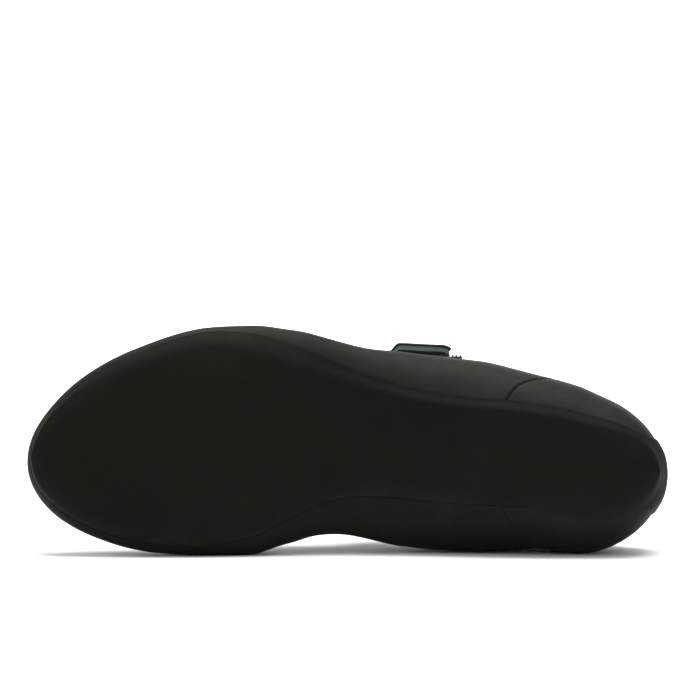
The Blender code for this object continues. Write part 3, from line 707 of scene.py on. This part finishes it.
soleLook = {
    "dark": (0.0054, 0.0057, 0.0034),
    "light": (0.0074, 0.0077, 0.0051),
    "worn": (0.018, 0.018, 0.0155),
    "specular": 0.05,
    "roughness": (0.55, 0.75),
}
randLook = {
    "dark": (0.0082, 0.0085, 0.0054),
    "light": (0.0112, 0.0116, 0.0078),
    "worn": (0.022, 0.022, 0.018),
    "specular": 0.08,
    "roughness": (0.5, 0.68),
}
webbingLook = {
    "dark": (0.088, 0.150, 0.128),
    "light": (0.155, 0.228, 0.200),
    "thread": 0.5 * mm,
    "under": (0.012, 0.012, 0.012),
}
threadLook = {
    "dark": (0.07, 0.075, 0.075),
    "light": (0.13, 0.135, 0.135),
    "thread": 0.3 * mm,
    "sheen": 0.1,
    "roughness": 0.6,
    "relief": 0.03 * mm,
}
finishes = {
    "sole": rubber("grip rubber", **soleLook),
    "rand": rubber("rand rubber", **randLook),
    "upper": cloth("brushed microfibre", (0.026, 0.027, 0.028), (0.052, 0.053, 0.054), None),
    "binding": cloth("collar binding", (0.022, 0.022, 0.024), (0.045, 0.046, 0.048), 0.7 * mm),
    "tongue": cloth("padded knit", (0.045, 0.047, 0.050), (0.085, 0.088, 0.092), 0.9 * mm),
    "insole": cloth("felted footbed", (0.14, 0.13, 0.12), (0.22, 0.21, 0.195), 0.5 * mm),
    "lining": cloth("grey green webbing", **webbingLook),
    "strap": rubber("coated strap", (0.010, 0.010, 0.010), (0.017, 0.017, 0.017), (0.05, 0.05, 0.05), 0.35),
    "hooks": rubber("hook tape", (0.012, 0.012, 0.012), (0.02, 0.02, 0.02), (0.05, 0.05, 0.05), 0.4),
    "thread": cloth("waxed thread", **threadLook),
}
print("finishes mixed:", len(finishes))

# outsole: one smooth sheet of rubber, its rim rolled over at the toes
outsole = {
    "columns": 241,
    "rows": 56,
    "rim": 0.55 * mm,
    "roll": 0.25 * mm,
    "rollWidth": 7 * mm,
    "rollStart": (0.52, 0.66),
    "unevenness": 0.10 * mm,
    "waveSize": 38 * mm,
    "wear": {lateral: 0.1, medial: 0.35},
    "wearReach": 1.6 * mm,
    # painted shade along the outer rim of the sole, fading out towards the toes
    "shade": {lateral: 1, medial: 0},
    "shadeReach": 9 * mm,
    "shadeEnd": (0.5, 0.66),
}


def solePatch(side):
    s, v, row = soleNet(side, outsole["columns"], outsole["rows"])
    flat = on(side, s, row)
    fromRim = lengthsLeft(flat, 1)
    out = soleOut(v) + outsole["unevenness"] * ripple(flat, outsole["waveSize"], 3)
    rolled = ease(*outsole["rollStart"], shareOf(s)) * (1 - ease(0, outsole["rollWidth"], fromRim))
    out = out - outsole["roll"] * rolled
    out = out - roundOff(fromRim, outsole["rim"])
    heelward = 1 - ease(*outsole["shadeEnd"], shareOf(s))
    wear = np.exp(-fromRim / outsole["wearReach"]) * outsole["wear"][side]
    # painted shade: the outer rim is painted darker from the waist back
    shade = np.exp(-fromRim / outsole["shadeReach"]) * heelward * outsole["shade"][side]
    return skin(side, s, row, randIn, out, wear=wear, shade=shade)


finish(bothSheets("soleRubber", solePatch), finishes["sole"], "outsole", ["outsole"])

# rand: one band along each side and round the toes, one cup round the heel, met in a slanting seam
rand = {
    "columns": {"side": 181, "heel": 101},
    "rows": 30,
    "crowding": 0.12,
    "edge": 1.1 * mm,
    "seamGap": {lateral: 0.12 * mm, medial: 0.0},
    "seamEdge": {lateral: 0.3 * mm, medial: 0.01 * mm},
    "unevenness": 0.16 * mm,
    "waveSize": 30 * mm,
    "topWear": 0.9,
    "topWearReach": 1.0 * mm,
    "seamWear": {lateral: 0.2, medial: 0},
    "seamWearReach": 0.8 * mm,
    # painted shade on the rand: how dark the back of the heel and the inner side are painted, and the
    # patches where it is lighter
    "heelShade": 0.6,
    "insideShade": 0.9,
    "insideHeelLoss": 0.4,
    "palerPatches": {"shade": 0.3, "middle": 0.30, "reach": 0.05, "waveSize": 16 * mm},
}
# short creases in the rubber of the inner side: the ends of each as shares of length and rand's height
crease = {
    "depth": 0.6 * mm,
    "wide": 1.0 * mm,
    "rise": 20 * mm,
    "ends": [
        ((0.468, 0.52), (0.480, 0.62)), ((0.330, 0.06), (0.358, 0.10)), ((0.395, 0.36), (0.440, 0.50)),
        ((0.272, 0.14), (0.290, 0.12)), ((0.350, 0.55), (0.385, 0.66)),
    ],
}


def randNet(side, which, columns, rows):
    # a net up the rand that begins at the slanting seam: heel rand behind it, side rand in front
    u, v = crossed(evenSteps(columns), cosineSteps(rows))
    u = u - rand["crowding"] * np.sin(2 * np.pi * u) / (2 * np.pi)
    s = u
    for _ in range(6):  # row and seam follow each other, so both are found step by step
        row = between(edgeRow(side, "randLow", s), edgeRow(side, which, s), v)
        apart = (1 if which == "side" else -1) * rand["seamGap"][side]
        meet = stationOf(seamAt(row) + apart / last["length"])
        s = between(meet, 1.0, u) if which == "side" else between(0.0, meet, u)
    return s, row


def creasedBy(x, v):
    total = 0 * x
    scale = np.array([last["length"], crease["rise"]])
    here = np.stack([x, v], -1) * scale
    for first, final in crease["ends"]:
        a, b = np.array(first) * scale, np.array(final) * scale
        t = np.clip((here - a) @ (b - a) / ((b - a) @ (b - a)), 0, 1)
        away = np.linalg.norm(here - a - t[..., None] * (b - a), axis=-1)
        total = total + np.exp(-((away / crease["wide"]) ** 2))
    return crease["depth"] * total


def randShade(side, x, flat):
    # painted shade: the inner side and the back of the heel are painted darker, as the sole is, with noisy
    # patches on the inner side where that painted shade is lighter
    heel = rand["heelShade"] * (1 - ease(0.0, 0.1, x))
    if side == lateral:
        return heel
    palerPatches = rand["palerPatches"]
    patch = np.exp(-(((x - palerPatches["middle"]) / palerPatches["reach"]) ** 2))
    patch = patch * ease(-0.1, 0.5, ripple(flat, palerPatches["waveSize"], 4))
    inside = rand["insideShade"] - rand["insideHeelLoss"] * ease(0.3, 0.1, x) - palerPatches["shade"] * patch
    return np.maximum(heel, inside)


def randPatch(side, which):
    s, row = randNet(side, which, rand["columns"][which], rand["rows"])
    flat = on(side, s, row)
    up, top = lengths(flat, 1), lengthsLeft(flat, 1)
    seam = lengths(flat, 0) if which == "side" else lengthsLeft(flat, 0)
    wave = 8 if which == "heel" and side == lateral else 5  # the seam hides where both sheets share one wave
    out = randOut + rand["unevenness"] * ripple(flat, rand["waveSize"], wave)
    out = out - np.maximum(roundOff(top, rand["edge"]), roundOff(seam, rand["seamEdge"][side]))
    if side == medial:
        out = out - creasedBy(shareOf(s), up / np.maximum(up[:, -1:], mm))
    wear = rand["topWear"] * np.exp(-top / rand["topWearReach"])
    wear = wear + rand["seamWear"][side] * np.exp(-seam / rand["seamWearReach"])
    return skin(side, s, row, randIn, out, wear=wear, shade=randShade(side, shareOf(s), flat))


for name, which, node in (("sideRand", "side", "rand"), ("heelRand", "heel", "heel_rand")):
    band = bothSheets(name, lambda side: randPatch(side, which))
    finish(band, finishes["rand"], node, [node])

# heel strip: a thin band of rubber up the back of the heel, thinned towards its sides and the sole
strip = {
    "columns": 25,
    "rows": 60,
    "search": np.linspace(0, 0.4, 201),
    "width": 28.8 * mm,
    "top": 0.95,
    "lift": 0.64 * mm,
    "sunk": 0.3 * mm,
    "skive": 6 * mm,
    "skived": 0.55 * mm,
    "edge": 0.5 * mm,
    "edgeDrop": 0.5,
    "run": 6 * mm,
    "runOut": 0.03 * mm,
    "wear": 0.3,
    "wearReach": 0.8 * mm,
    # painted shade laid evenly over the whole strip
    "shade": 0.6,
}
stripIn = randOut + strip["lift"]


def stripRow(side, s, v):
    return between(edgeRow(side, "randLow", s), edgeRow(side, "heel", s), v)


def stripPatch(side):
    t, v = crossed(quarterSteps(strip["columns"]), cosineSteps(strip["rows"]) * strip["top"])
    s = np.zeros_like(v)
    row = stripRow(side, s, v)
    trial = strip["search"]
    for _ in range(5):  # the station where the strip is wide enough moves its rows a little, so again
        wide = np.empty_like(s)
        for j in range(strip["rows"]):
            y = on(side, trial, np.full_like(trial, row[-1, j]), stripIn)[:, 1]
            wide[:, j] = np.interp(strip["width"] / 2, np.maximum.accumulate(np.abs(y - y[0])), trial)
        s = t * wide
        row = stripRow(side, s, v)
    flat = on(side, s, row)
    fromSide, top = lengthsLeft(flat, 0), lengthsLeft(flat, 1)
    out = stripIn + layers["heelStrip"] - strip["skived"] * (1 - ease(0, strip["skive"], fromSide))
    rounded = np.maximum(roundOff(fromSide, strip["edge"]), roundOff(top, strip["edge"]))
    out = out - strip["edgeDrop"] * rounded
    out = between(randOut + strip["runOut"], out, ease(0, strip["run"], lengths(flat, 1)))
    wear = strip["wear"] * np.exp(-np.minimum(fromSide, top) / strip["wearReach"])
    return skin(side, s, row, randOut - strip["sunk"], out, wear=wear, shade=strip["shade"])


finish(bothSheets("heelBand", stripPatch), finishes["rand"], "heel_strip", ["heel_strip"])

# upper: hollow, open at the collar and throat and under the foot, softly wrinkled by the ankle
upper = {
    "columns": 221,
    "underRows": 20,
    "overRows": 44,
    "wrinkle": 0.35 * mm,
    "waveSize": 24 * mm,
    "softFrom": (0.08, 0.25),
    "softTo": (0.5, 0.72),
    "softAbove": (0.9, 1.4),
}


def upperPatch(side):
    steps = np.concatenate([evenSteps(upper["underRows"]), 1 + quarterSteps(upper["overRows"])[1:]])
    s, t = crossed(evenSteps(upper["columns"]), steps)
    low, high = edgeRow(side, "hem", s), edgeRow(side, "opening", s)
    row = np.where(t < 1, between(low, 1, t), between(1, high, t - 1))
    x = shareOf(s)
    soft = ease(*upper["softFrom"], x) * (1 - ease(*upper["softTo"], x)) * ease(*upper["softAbove"], t)
    wave = ripple(on(side, s, row), upper["waveSize"], 2)
    out = layers["upperWall"] + upper["wrinkle"] * soft * wave
    return skin(side, s, row, 0, out)


finish(bothSheets("shoeUpper", upperPatch), finishes["upper"], "upper", ["upper"])


def edgePath(inset, side, first, final, count, out=layers["upperWall"]):
    # a line this far below the collar and throat edge
    s = stationOf(np.linspace(first, final, count))
    row = edgeRow(side, "opening", s)
    step = 0.01
    a, b = on(side, s, row), on(side, s, row - step)
    row = row - step * inset / np.linalg.norm(a - b, axis=1)
    point, normal = sides[side].sample(s, row)
    return point + normal * out, normal


# binding: a folded tape sewn over the collar and throat edge
binding = {
    "wide": 2.1 * mm,
    "tall": 1.55 * mm,
    "inset": 1.0 * mm,
    "stopShort": 0.002,
    "points": 260,
    "leastStep": 0.05 * mm,
    "corners": 16,
}
stop = throatFront - binding["stopShort"]
loops = [
    edgePath(binding["inset"], side, 0.0, stop, binding["points"], layers["upperWall"] / 2)
    for side in bothSides
]
path = np.vstack([loops[0][0], loops[1][0][::-1]])
direction = np.vstack([loops[0][1], loops[1][1][::-1]])
keep = np.concatenate([[True], np.linalg.norm(np.diff(path, axis=0), axis=1) > binding["leastStep"]])
v, f = tube(path[keep], direction[keep], binding["wide"], binding["tall"], corners=binding["corners"])
finish(addMesh("collarBinding", v, f), finishes["binding"], "upper")

# two rows of stitches: one along the whole edge, one beside the throat only
edgeStitches = (
    {"inset": 4.2 * mm, "first": 0.0, "stopShort": 0.012, "points": 300},
    {"inset": 6.4 * mm, "first": 0.36, "stopShort": 0.020, "points": 160},
)
rows = [
    edgePath(seam["inset"], side, seam["first"], throatFront - seam["stopShort"], seam["points"])
    for side in bothSides
    for seam in edgeStitches
]
finish(sewn("upperStitching", rows), finishes["thread"], "upper")

# tongue: padded knit that crowns up through the throat
tongue = {
    "columns": 121,
    "rows": 41,
    "searchRows": np.linspace(1, 2, 60),
    "top": 0.300,
    "tip": 0.625,
    "topWidth": 42 * mm,
    "tipWidth": 28 * mm,
    "under": 3.6 * mm,
    "over": 1.0 * mm,
    "edge": 1.1 * mm,
    "crown": 1.9 * mm,
    "crownAcross": (0.30, 0.62),
    "crownAlong": (3 * mm, 9 * mm),
    "channels": 9,
    "channelDepth": 0.5 * mm,
    "channelWidth": 0.09,
    "fill": 0.7,
}


def rowFromRidge(side, station, distance):
    # the row that lies this far to the side of the ridge
    rows = tongue["searchRows"]
    y = on(side, np.full(len(rows), station), rows)[:, 1]
    away = np.abs(y - sides[side].perStation(station, sides[side].ridge))
    return np.interp(distance, away[::-1], rows[::-1])


def tonguePatch(side):
    x = np.linspace(tongue["top"], tongue["tip"], tongue["columns"])
    s, t = crossed(stationOf(x), quarterSteps(tongue["rows"]))
    along = (shareOf(s) - tongue["top"]) / (tongue["tip"] - tongue["top"])
    half = between(tongue["topWidth"], tongue["tipWidth"], along[:, 0]) / 2
    edge = np.array([rowFromRidge(side, station, distance) for station, distance in zip(s[:, 0], half)])
    row = between(edge[:, None], 2.0, t)
    flat = on(side, s, row)
    fromSide = lengths(flat, 1)
    fromEnd = np.minimum(lengths(flat, 0), lengthsLeft(flat, 0))
    inThroat = ease(*tongue["crownAcross"], t) * ease(*tongue["crownAlong"], fromEnd)
    channel = np.exp(-((along * tongue["channels"] % 1 - 0.5) / tongue["channelWidth"]) ** 2) * inThroat
    out = -tongue["over"] + tongue["crown"] * inThroat - tongue["channelDepth"] * channel
    out = out - roundOff(np.minimum(fromSide, fromEnd), tongue["edge"])
    return skin(side, s, row, -tongue["under"], out)


piece = finish(bothSheets("paddedTongue", tonguePatch), finishes["tongue"], "tongue", ["tongue"])

# insole: felted footbed, its underside a little clear of the hem
insole = {
    "columns": 161,
    "rows": 36,
    "share": 0.86,
    "clear": 0.8 * mm,
    "thick": 1.5 * mm,
    "edge": 0.9 * mm,
}


def insolePatch(side):
    net = sides[side]
    s, t = crossed(evenSteps(insole["columns"]), quarterSteps(insole["rows"]))
    shares = np.full(net.stations, insole["share"])
    edge = np.interp(s, evenSteps(net.stations), net.rowAtShare(shares))
    fromEdge = lengthsLeft(on(side, s, edge * t), 1)
    top = -insole["clear"] - insole["thick"] + roundOff(fromEdge, insole["edge"])
    return skin(side, s, edge * t, top, -insole["clear"])


finish(bothSheets("footbed", insolePatch), finishes["insole"], "insole", ["insole"])

# strap: from its free end on the outer side (0) over the instep to its anchor on the inner side (1);
# middles are shares of the last's length, rows run from its widest line (1) to its ridge (2)
strap = {
    "columns": 36,
    "rows": 221,
    "tipMiddle": 0.393,
    "anchorMiddle": 0.490,
    "tipRow": 1.06,
    "anchorRow": 1.36,
    "crest": 0.5,
    "seated": 0.8,
    "width": 26 * mm,
    "tipWidth": 25.5 * mm,
    "chamfer": 0.040,
    "lift": 2.2 * mm,
    "liftReach": 0.24,
    "tilt": 0.9 * mm,
    "drop": 4.2 * mm,
    "dropStart": 0.66,
    "cornerStart": 0.7,
    "cornerDrop": 1.2 * mm,
    "thin": 0.25 * mm,
    "edge": 0.3 * mm,
    "underRound": 0.35,
    "wearReach": 0.9 * mm,
}
# webbing: the lining under the strap's free end, by shares of the strap's length
webbing = {
    "columns": 24,
    "rows": 121,
    "start": 0.004,
    "stop": 0.4375,
    "inset": 0.5 * mm,
    "rise": 0.3 * mm,
    "edge": 0.3 * mm,
}
# stitches along both borders, across the free end, and a crossed box at the anchor
strapStitches = {
    "inset": 2.3 * mm,
    "first": 0.035,
    "firstShare": 0.9,
    "boxStart": 0.80,
    "final": 0.985,
    "points": 240,
    "acrossPoints": 60,
    "size": (2.2 * mm, 0.8 * mm, 0.32 * mm),
}
hooksIn = randIn + layers["hookTapeGap"]
liningIn = hooksIn + layers["hookTape"] + layers["gap"]
liningOut = liningIn + layers["strapLining"]


def strapBase(step):
    seated = ease(strap["crest"], strap["seated"], step)
    return between(liningOut + layers["gap"], randIn + layers["gap"], seated)


def strapTop(step):
    return strapBase(step) + layers["strap"] - strap["thin"]


def strapPlace(line, step, inset=0.0, start=0.0):
    # where a point of the band lies on the last; line runs -1 to 1 across it
    reach = np.clip((step - start) / strap["chamfer"], 0, 1)
    width = between(strap["tipWidth"], strap["width"], reach) - 2 * inset
    middle = between(strap["tipMiddle"], strap["anchorMiddle"], step)
    s = stationOf(middle + line * width / 2 / last["length"])
    crest = strap["crest"]
    outer = step <= crest
    rising = between(strap["tipRow"], 2, step / crest)
    falling = between(2, strap["anchorRow"], (step - crest) / (1 - crest))
    return outer, s, np.where(outer, rising, falling)


def onStrap(line, step, out, inset=0.0, start=0.0):
    outer, s, row = strapPlace(line, step, inset, start)
    loose = np.clip(1 - step / strap["liftReach"], 0, 1) ** 2
    corner = np.clip((-line - strap["cornerStart"]) / (1 - strap["cornerStart"]), 0, 1) ** 2
    lift = strap["lift"] - strap["tilt"] * line - strap["cornerDrop"] * corner
    out = out + loose * (lift - strap["drop"] * ease(strap["dropStart"], 1, line))
    pa, na = sides[lateral].sample(s, row)
    pb, nb = sides[medial].sample(s, row)
    point = np.where(outer[..., None], pa, pb)
    normal = np.where(outer[..., None], na, nb)
    return point + normal * out[..., None], normal


def bandSheet(name, low, high, size, start, stop, inset=0.0):
    # a closed band with rounded borders, low and high above the last
    along = between(start, stop, cosineSteps(size["rows"]))
    line, step = crossed(cosineSteps(size["columns"]) * 2 - 1, along)
    flat, _ = onStrap(line, step, low(step), inset, start)
    border = toBorder(flat)
    fall = roundOff(border, size["edge"])
    top, _ = onStrap(line, step, high(step) - fall, inset, start)
    bottom, _ = onStrap(line, step, low(step) + strap["underRound"] * fall, inset, start)
    ids = np.arange(line.size).reshape(line.shape)
    quads = cellsOf(ids)
    faces = quads.tolist() + (quads[:, ::-1] + line.size).tolist()
    rim = np.concatenate([ids[:, 0], ids[-1, 1:], ids[::-1, -1][1:], ids[0, ::-1][1:-1]])
    faces += [[a, b, b + line.size, a + line.size] for a, b in zip(rim, np.roll(rim, -1))]
    marks = {
        "wear": np.tile(np.exp(-border / strap["wearReach"]).reshape(-1), 2),
        "under": np.repeat([0.0, 1.0], line.size),
    }
    return addMesh(name, np.vstack([top.reshape(-1, 3), bottom.reshape(-1, 3)]), faces, marks)


def webbingLow(step):
    return liningIn + 0 * step


def webbingHigh(step):
    return liningOut + webbing["rise"] + 0 * step


band = bandSheet("strapBand", strapBase, strapTop, strap, 0.0, 1.0)
finish(band, finishes["strap"], "strap", ["strap"])
band = bandSheet(
    "strapWebbing", webbingLow, webbingHigh, webbing, webbing["start"], webbing["stop"], webbing["inset"]
)
finish(band, finishes["lining"], "strap_lining", ["strap_lining"])


def strapLine(line, step):
    return onStrap(line, step, strapTop(step))


rows = []
inLine = 1 - 2 * strapStitches["inset"] / strap["width"]
step = between(strapStitches["first"], strapStitches["final"], evenSteps(strapStitches["points"]))
for line in (-inLine, inLine):
    rows.append(strapLine(np.full_like(step, line), step))
across = np.linspace(-inLine, inLine, strapStitches["acrossPoints"])
rows.append(strapLine(across * strapStitches["firstShare"], np.full_like(across, strapStitches["first"])))
for end in (strapStitches["boxStart"], strapStitches["final"]):
    rows.append(strapLine(across, np.full_like(across, end)))
for way in (-1, 1):
    steps = between(strapStitches["final"], strapStitches["boxStart"], (across * way / inLine + 1) / 2)
    rows.append(strapLine(across, steps))
finish(sewn("strapStitching", rows, *strapStitches["size"]), finishes["thread"], "strap")

# hook tape: a thin base with a field of small moulded hooks
hooks = {
    "columns": 60,
    "rows": 70,
    "low": 1.03,
    "high": 1.55,
    "overrun": 4.5 * mm,
    "curl": 3.0 * mm,
    "curlRows": (1.10, 1.26),
    "base": 0.4 * mm,
    "edge": 0.3 * mm,
    "wearReach": 0.6 * mm,
    "tall": 1.7 * mm,
    "pitch": 1.6 * mm,
    "stagger": 0.25,
    "wide": 0.34 * mm,
    "rooted": 0.8,
    "bend": ((0.7, 0.0), (0.98, 0.25 * mm), (0.7, 0.5 * mm)),  # share of the height, how far it leans over
    "leanStep": 0.02,
}
back = strap["tipMiddle"] - (strap["width"] / 2 + hooks["overrun"]) / last["length"]
front = strap["tipMiddle"] + strap["dropStart"] * strap["tipWidth"] / 2 / last["length"]


def curl(s, row):
    # the tape's lower corner on the heel's side, which the strap leaves bare, lifts a little
    bare = 1 - ease(back, strap["tipMiddle"], shareOf(s))
    return hooks["curl"] * bare * (1 - ease(*hooks["curlRows"], row))


stations = stationOf(np.linspace(back, front, hooks["columns"]))
s, row = crossed(stations, np.linspace(hooks["low"], hooks["high"], hooks["rows"]))
flat = on(lateral, s, row)
border = toBorder(flat)
foot = hooksIn + curl(s, row)
face = foot + hooks["base"] - roundOff(border, hooks["edge"])
tape = skin(lateral, s, row, foot, face, wear=np.exp(-border / hooks["wearReach"]))
finish(closedSheet("hookTape", [tape]), finishes["hooks"], "hook_pad", ["hook_pad"])


def hook(station, row):
    # one moulded hook: up from the tape, then bent over
    foot, normal = sides[lateral].sample(np.array([station]), np.array([row]))
    foot, normal = foot[0] + normal[0] * curl(station, row), normal[0]
    lean = on(lateral, [station], [row + hooks["leanStep"]])[0] - foot
    lean = lean / np.linalg.norm(lean)
    rise = hooks["tall"] - hooks["base"]
    line = [foot + normal * (hooksIn + hooks["base"] * hooks["rooted"])]
    for share, over in hooks["bend"]:
        line.append(foot + normal * (hooksIn + hooks["base"] + rise * share) + lean * over)
    way = np.cross(lean, normal)
    thick = hooks["wide"] / 2
    return tube(np.array(line), np.array([way] * len(line)), thick, thick, closed=False, corners=4)


across = int(lengths(flat, 0).max() / hooks["pitch"])
up = int(lengths(flat, 1).max() / hooks["pitch"])
field = []
for i in range(across):
    for j in range(up):
        u = (i + 0.5 + hooks["stagger"] * (j % 2)) / across
        station = np.interp(u, evenSteps(hooks["columns"]), stations)
        field.append(hook(station, between(hooks["low"], hooks["high"], (j + 0.5) / up)))
finish(addMesh("hookField", *gathered(field)), finishes["hooks"], "hook_pad")

# room: a pale floor that sweeps up behind, soft lights, and the photograph's low view
room = {"width": 9.0, "front": 4.0, "back": 4.5, "bend": 1.6, "bendSteps": 24, "wall": 4.0}
line = [(-room["front"], 0.0)]
for k in range(room["bendSteps"] + 1):
    a = math.radians(90 * k / room["bendSteps"])
    line.append((room["back"] + room["bend"] * math.sin(a), room["bend"] * (1 - math.cos(a))))
line.append((room["back"] + room["bend"], room["wall"]))
verts = [(x * room["width"] / 2, y, z) for y, z in line for x in (-1, 1)]
faces = [(2 * k, 2 * k + 1, 2 * k + 3, 2 * k + 2) for k in range(len(line) - 1)]
mesh = bpy.data.meshes.new("sweep")
mesh.from_pydata(verts, [], faces)
mesh.shade_smooth()
sweep = linked("sweep", mesh)
paper = Shades("white paper", (0.93, 0.93, 0.93), 0.9, 0.1)
paper.bump((paper.noise(3 * mm), 0.02 * mm))
mesh.materials.append(paper.material)


def softLight(name, place, aim, size, power):
    data = bpy.data.lights.new(name, "AREA")
    data.shape = "RECTANGLE"
    data.size, data.size_y = size
    data.energy = power
    lamp = linked(name, data)
    lamp.location = place
    lamp.rotation_euler = (Vector(aim) - Vector(place)).to_track_quat("-Z", "Y").to_euler()


lights = {  # place, aim, size, watts
    "overhead": ((0.1, 0.15, 1.6), (0, 0, 0), (1.5, 1.2), 42),
    "frontLeft": ((-1.5, -1.2, 1.0), (0, 0, 0.05), (1.0, 1.0), 5),
    "backdrop": ((0.0, 2.0, 3.2), (0, 5.6, 1.0), (5.0, 2.0), 520),
}
daylight = 0.62
for name, light in lights.items():
    softLight(name, *light)
world = bpy.data.worlds.new("soft daylight")
world.use_nodes = True
world.node_tree.nodes["Background"].inputs["Color"].default_value = (1, 1, 1, 1)
world.node_tree.nodes["Background"].inputs["Strength"].default_value = daylight
bpy.context.scene.world = world
bpy.context.scene.view_settings.view_transform = "Standard"

# the photograph's frame is 700 pixels square
eye = {
    "distance": 2.2,
    "elevation": 3.3,
    "roll": 0.25,
    "aim": (0.5 * mm, 0, 79.4 * mm),
    "pixelsPerMetre": 2495,
    "frame": 700,
    "sensor": 36,
    "clip": (0.05, 30),
}
camera = bpy.data.cameras.new("camera")
camera.sensor_width = eye["sensor"]
camera.lens = eye["sensor"] * eye["pixelsPerMetre"] * eye["distance"] / eye["frame"]
camera.clip_start, camera.clip_end = eye["clip"]
view = linked("camera", camera)
tilt = math.radians(eye["elevation"])
view.location = Vector(eye["aim"]) + eye["distance"] * Vector((0, -math.cos(tilt), math.sin(tilt)))
level = Matrix.Rotation(math.pi / 2 - tilt, 3, "X")
view.rotation_euler = (level @ Matrix.Rotation(math.radians(eye["roll"]), 3, "Z")).to_euler()
bpy.context.scene.camera = view
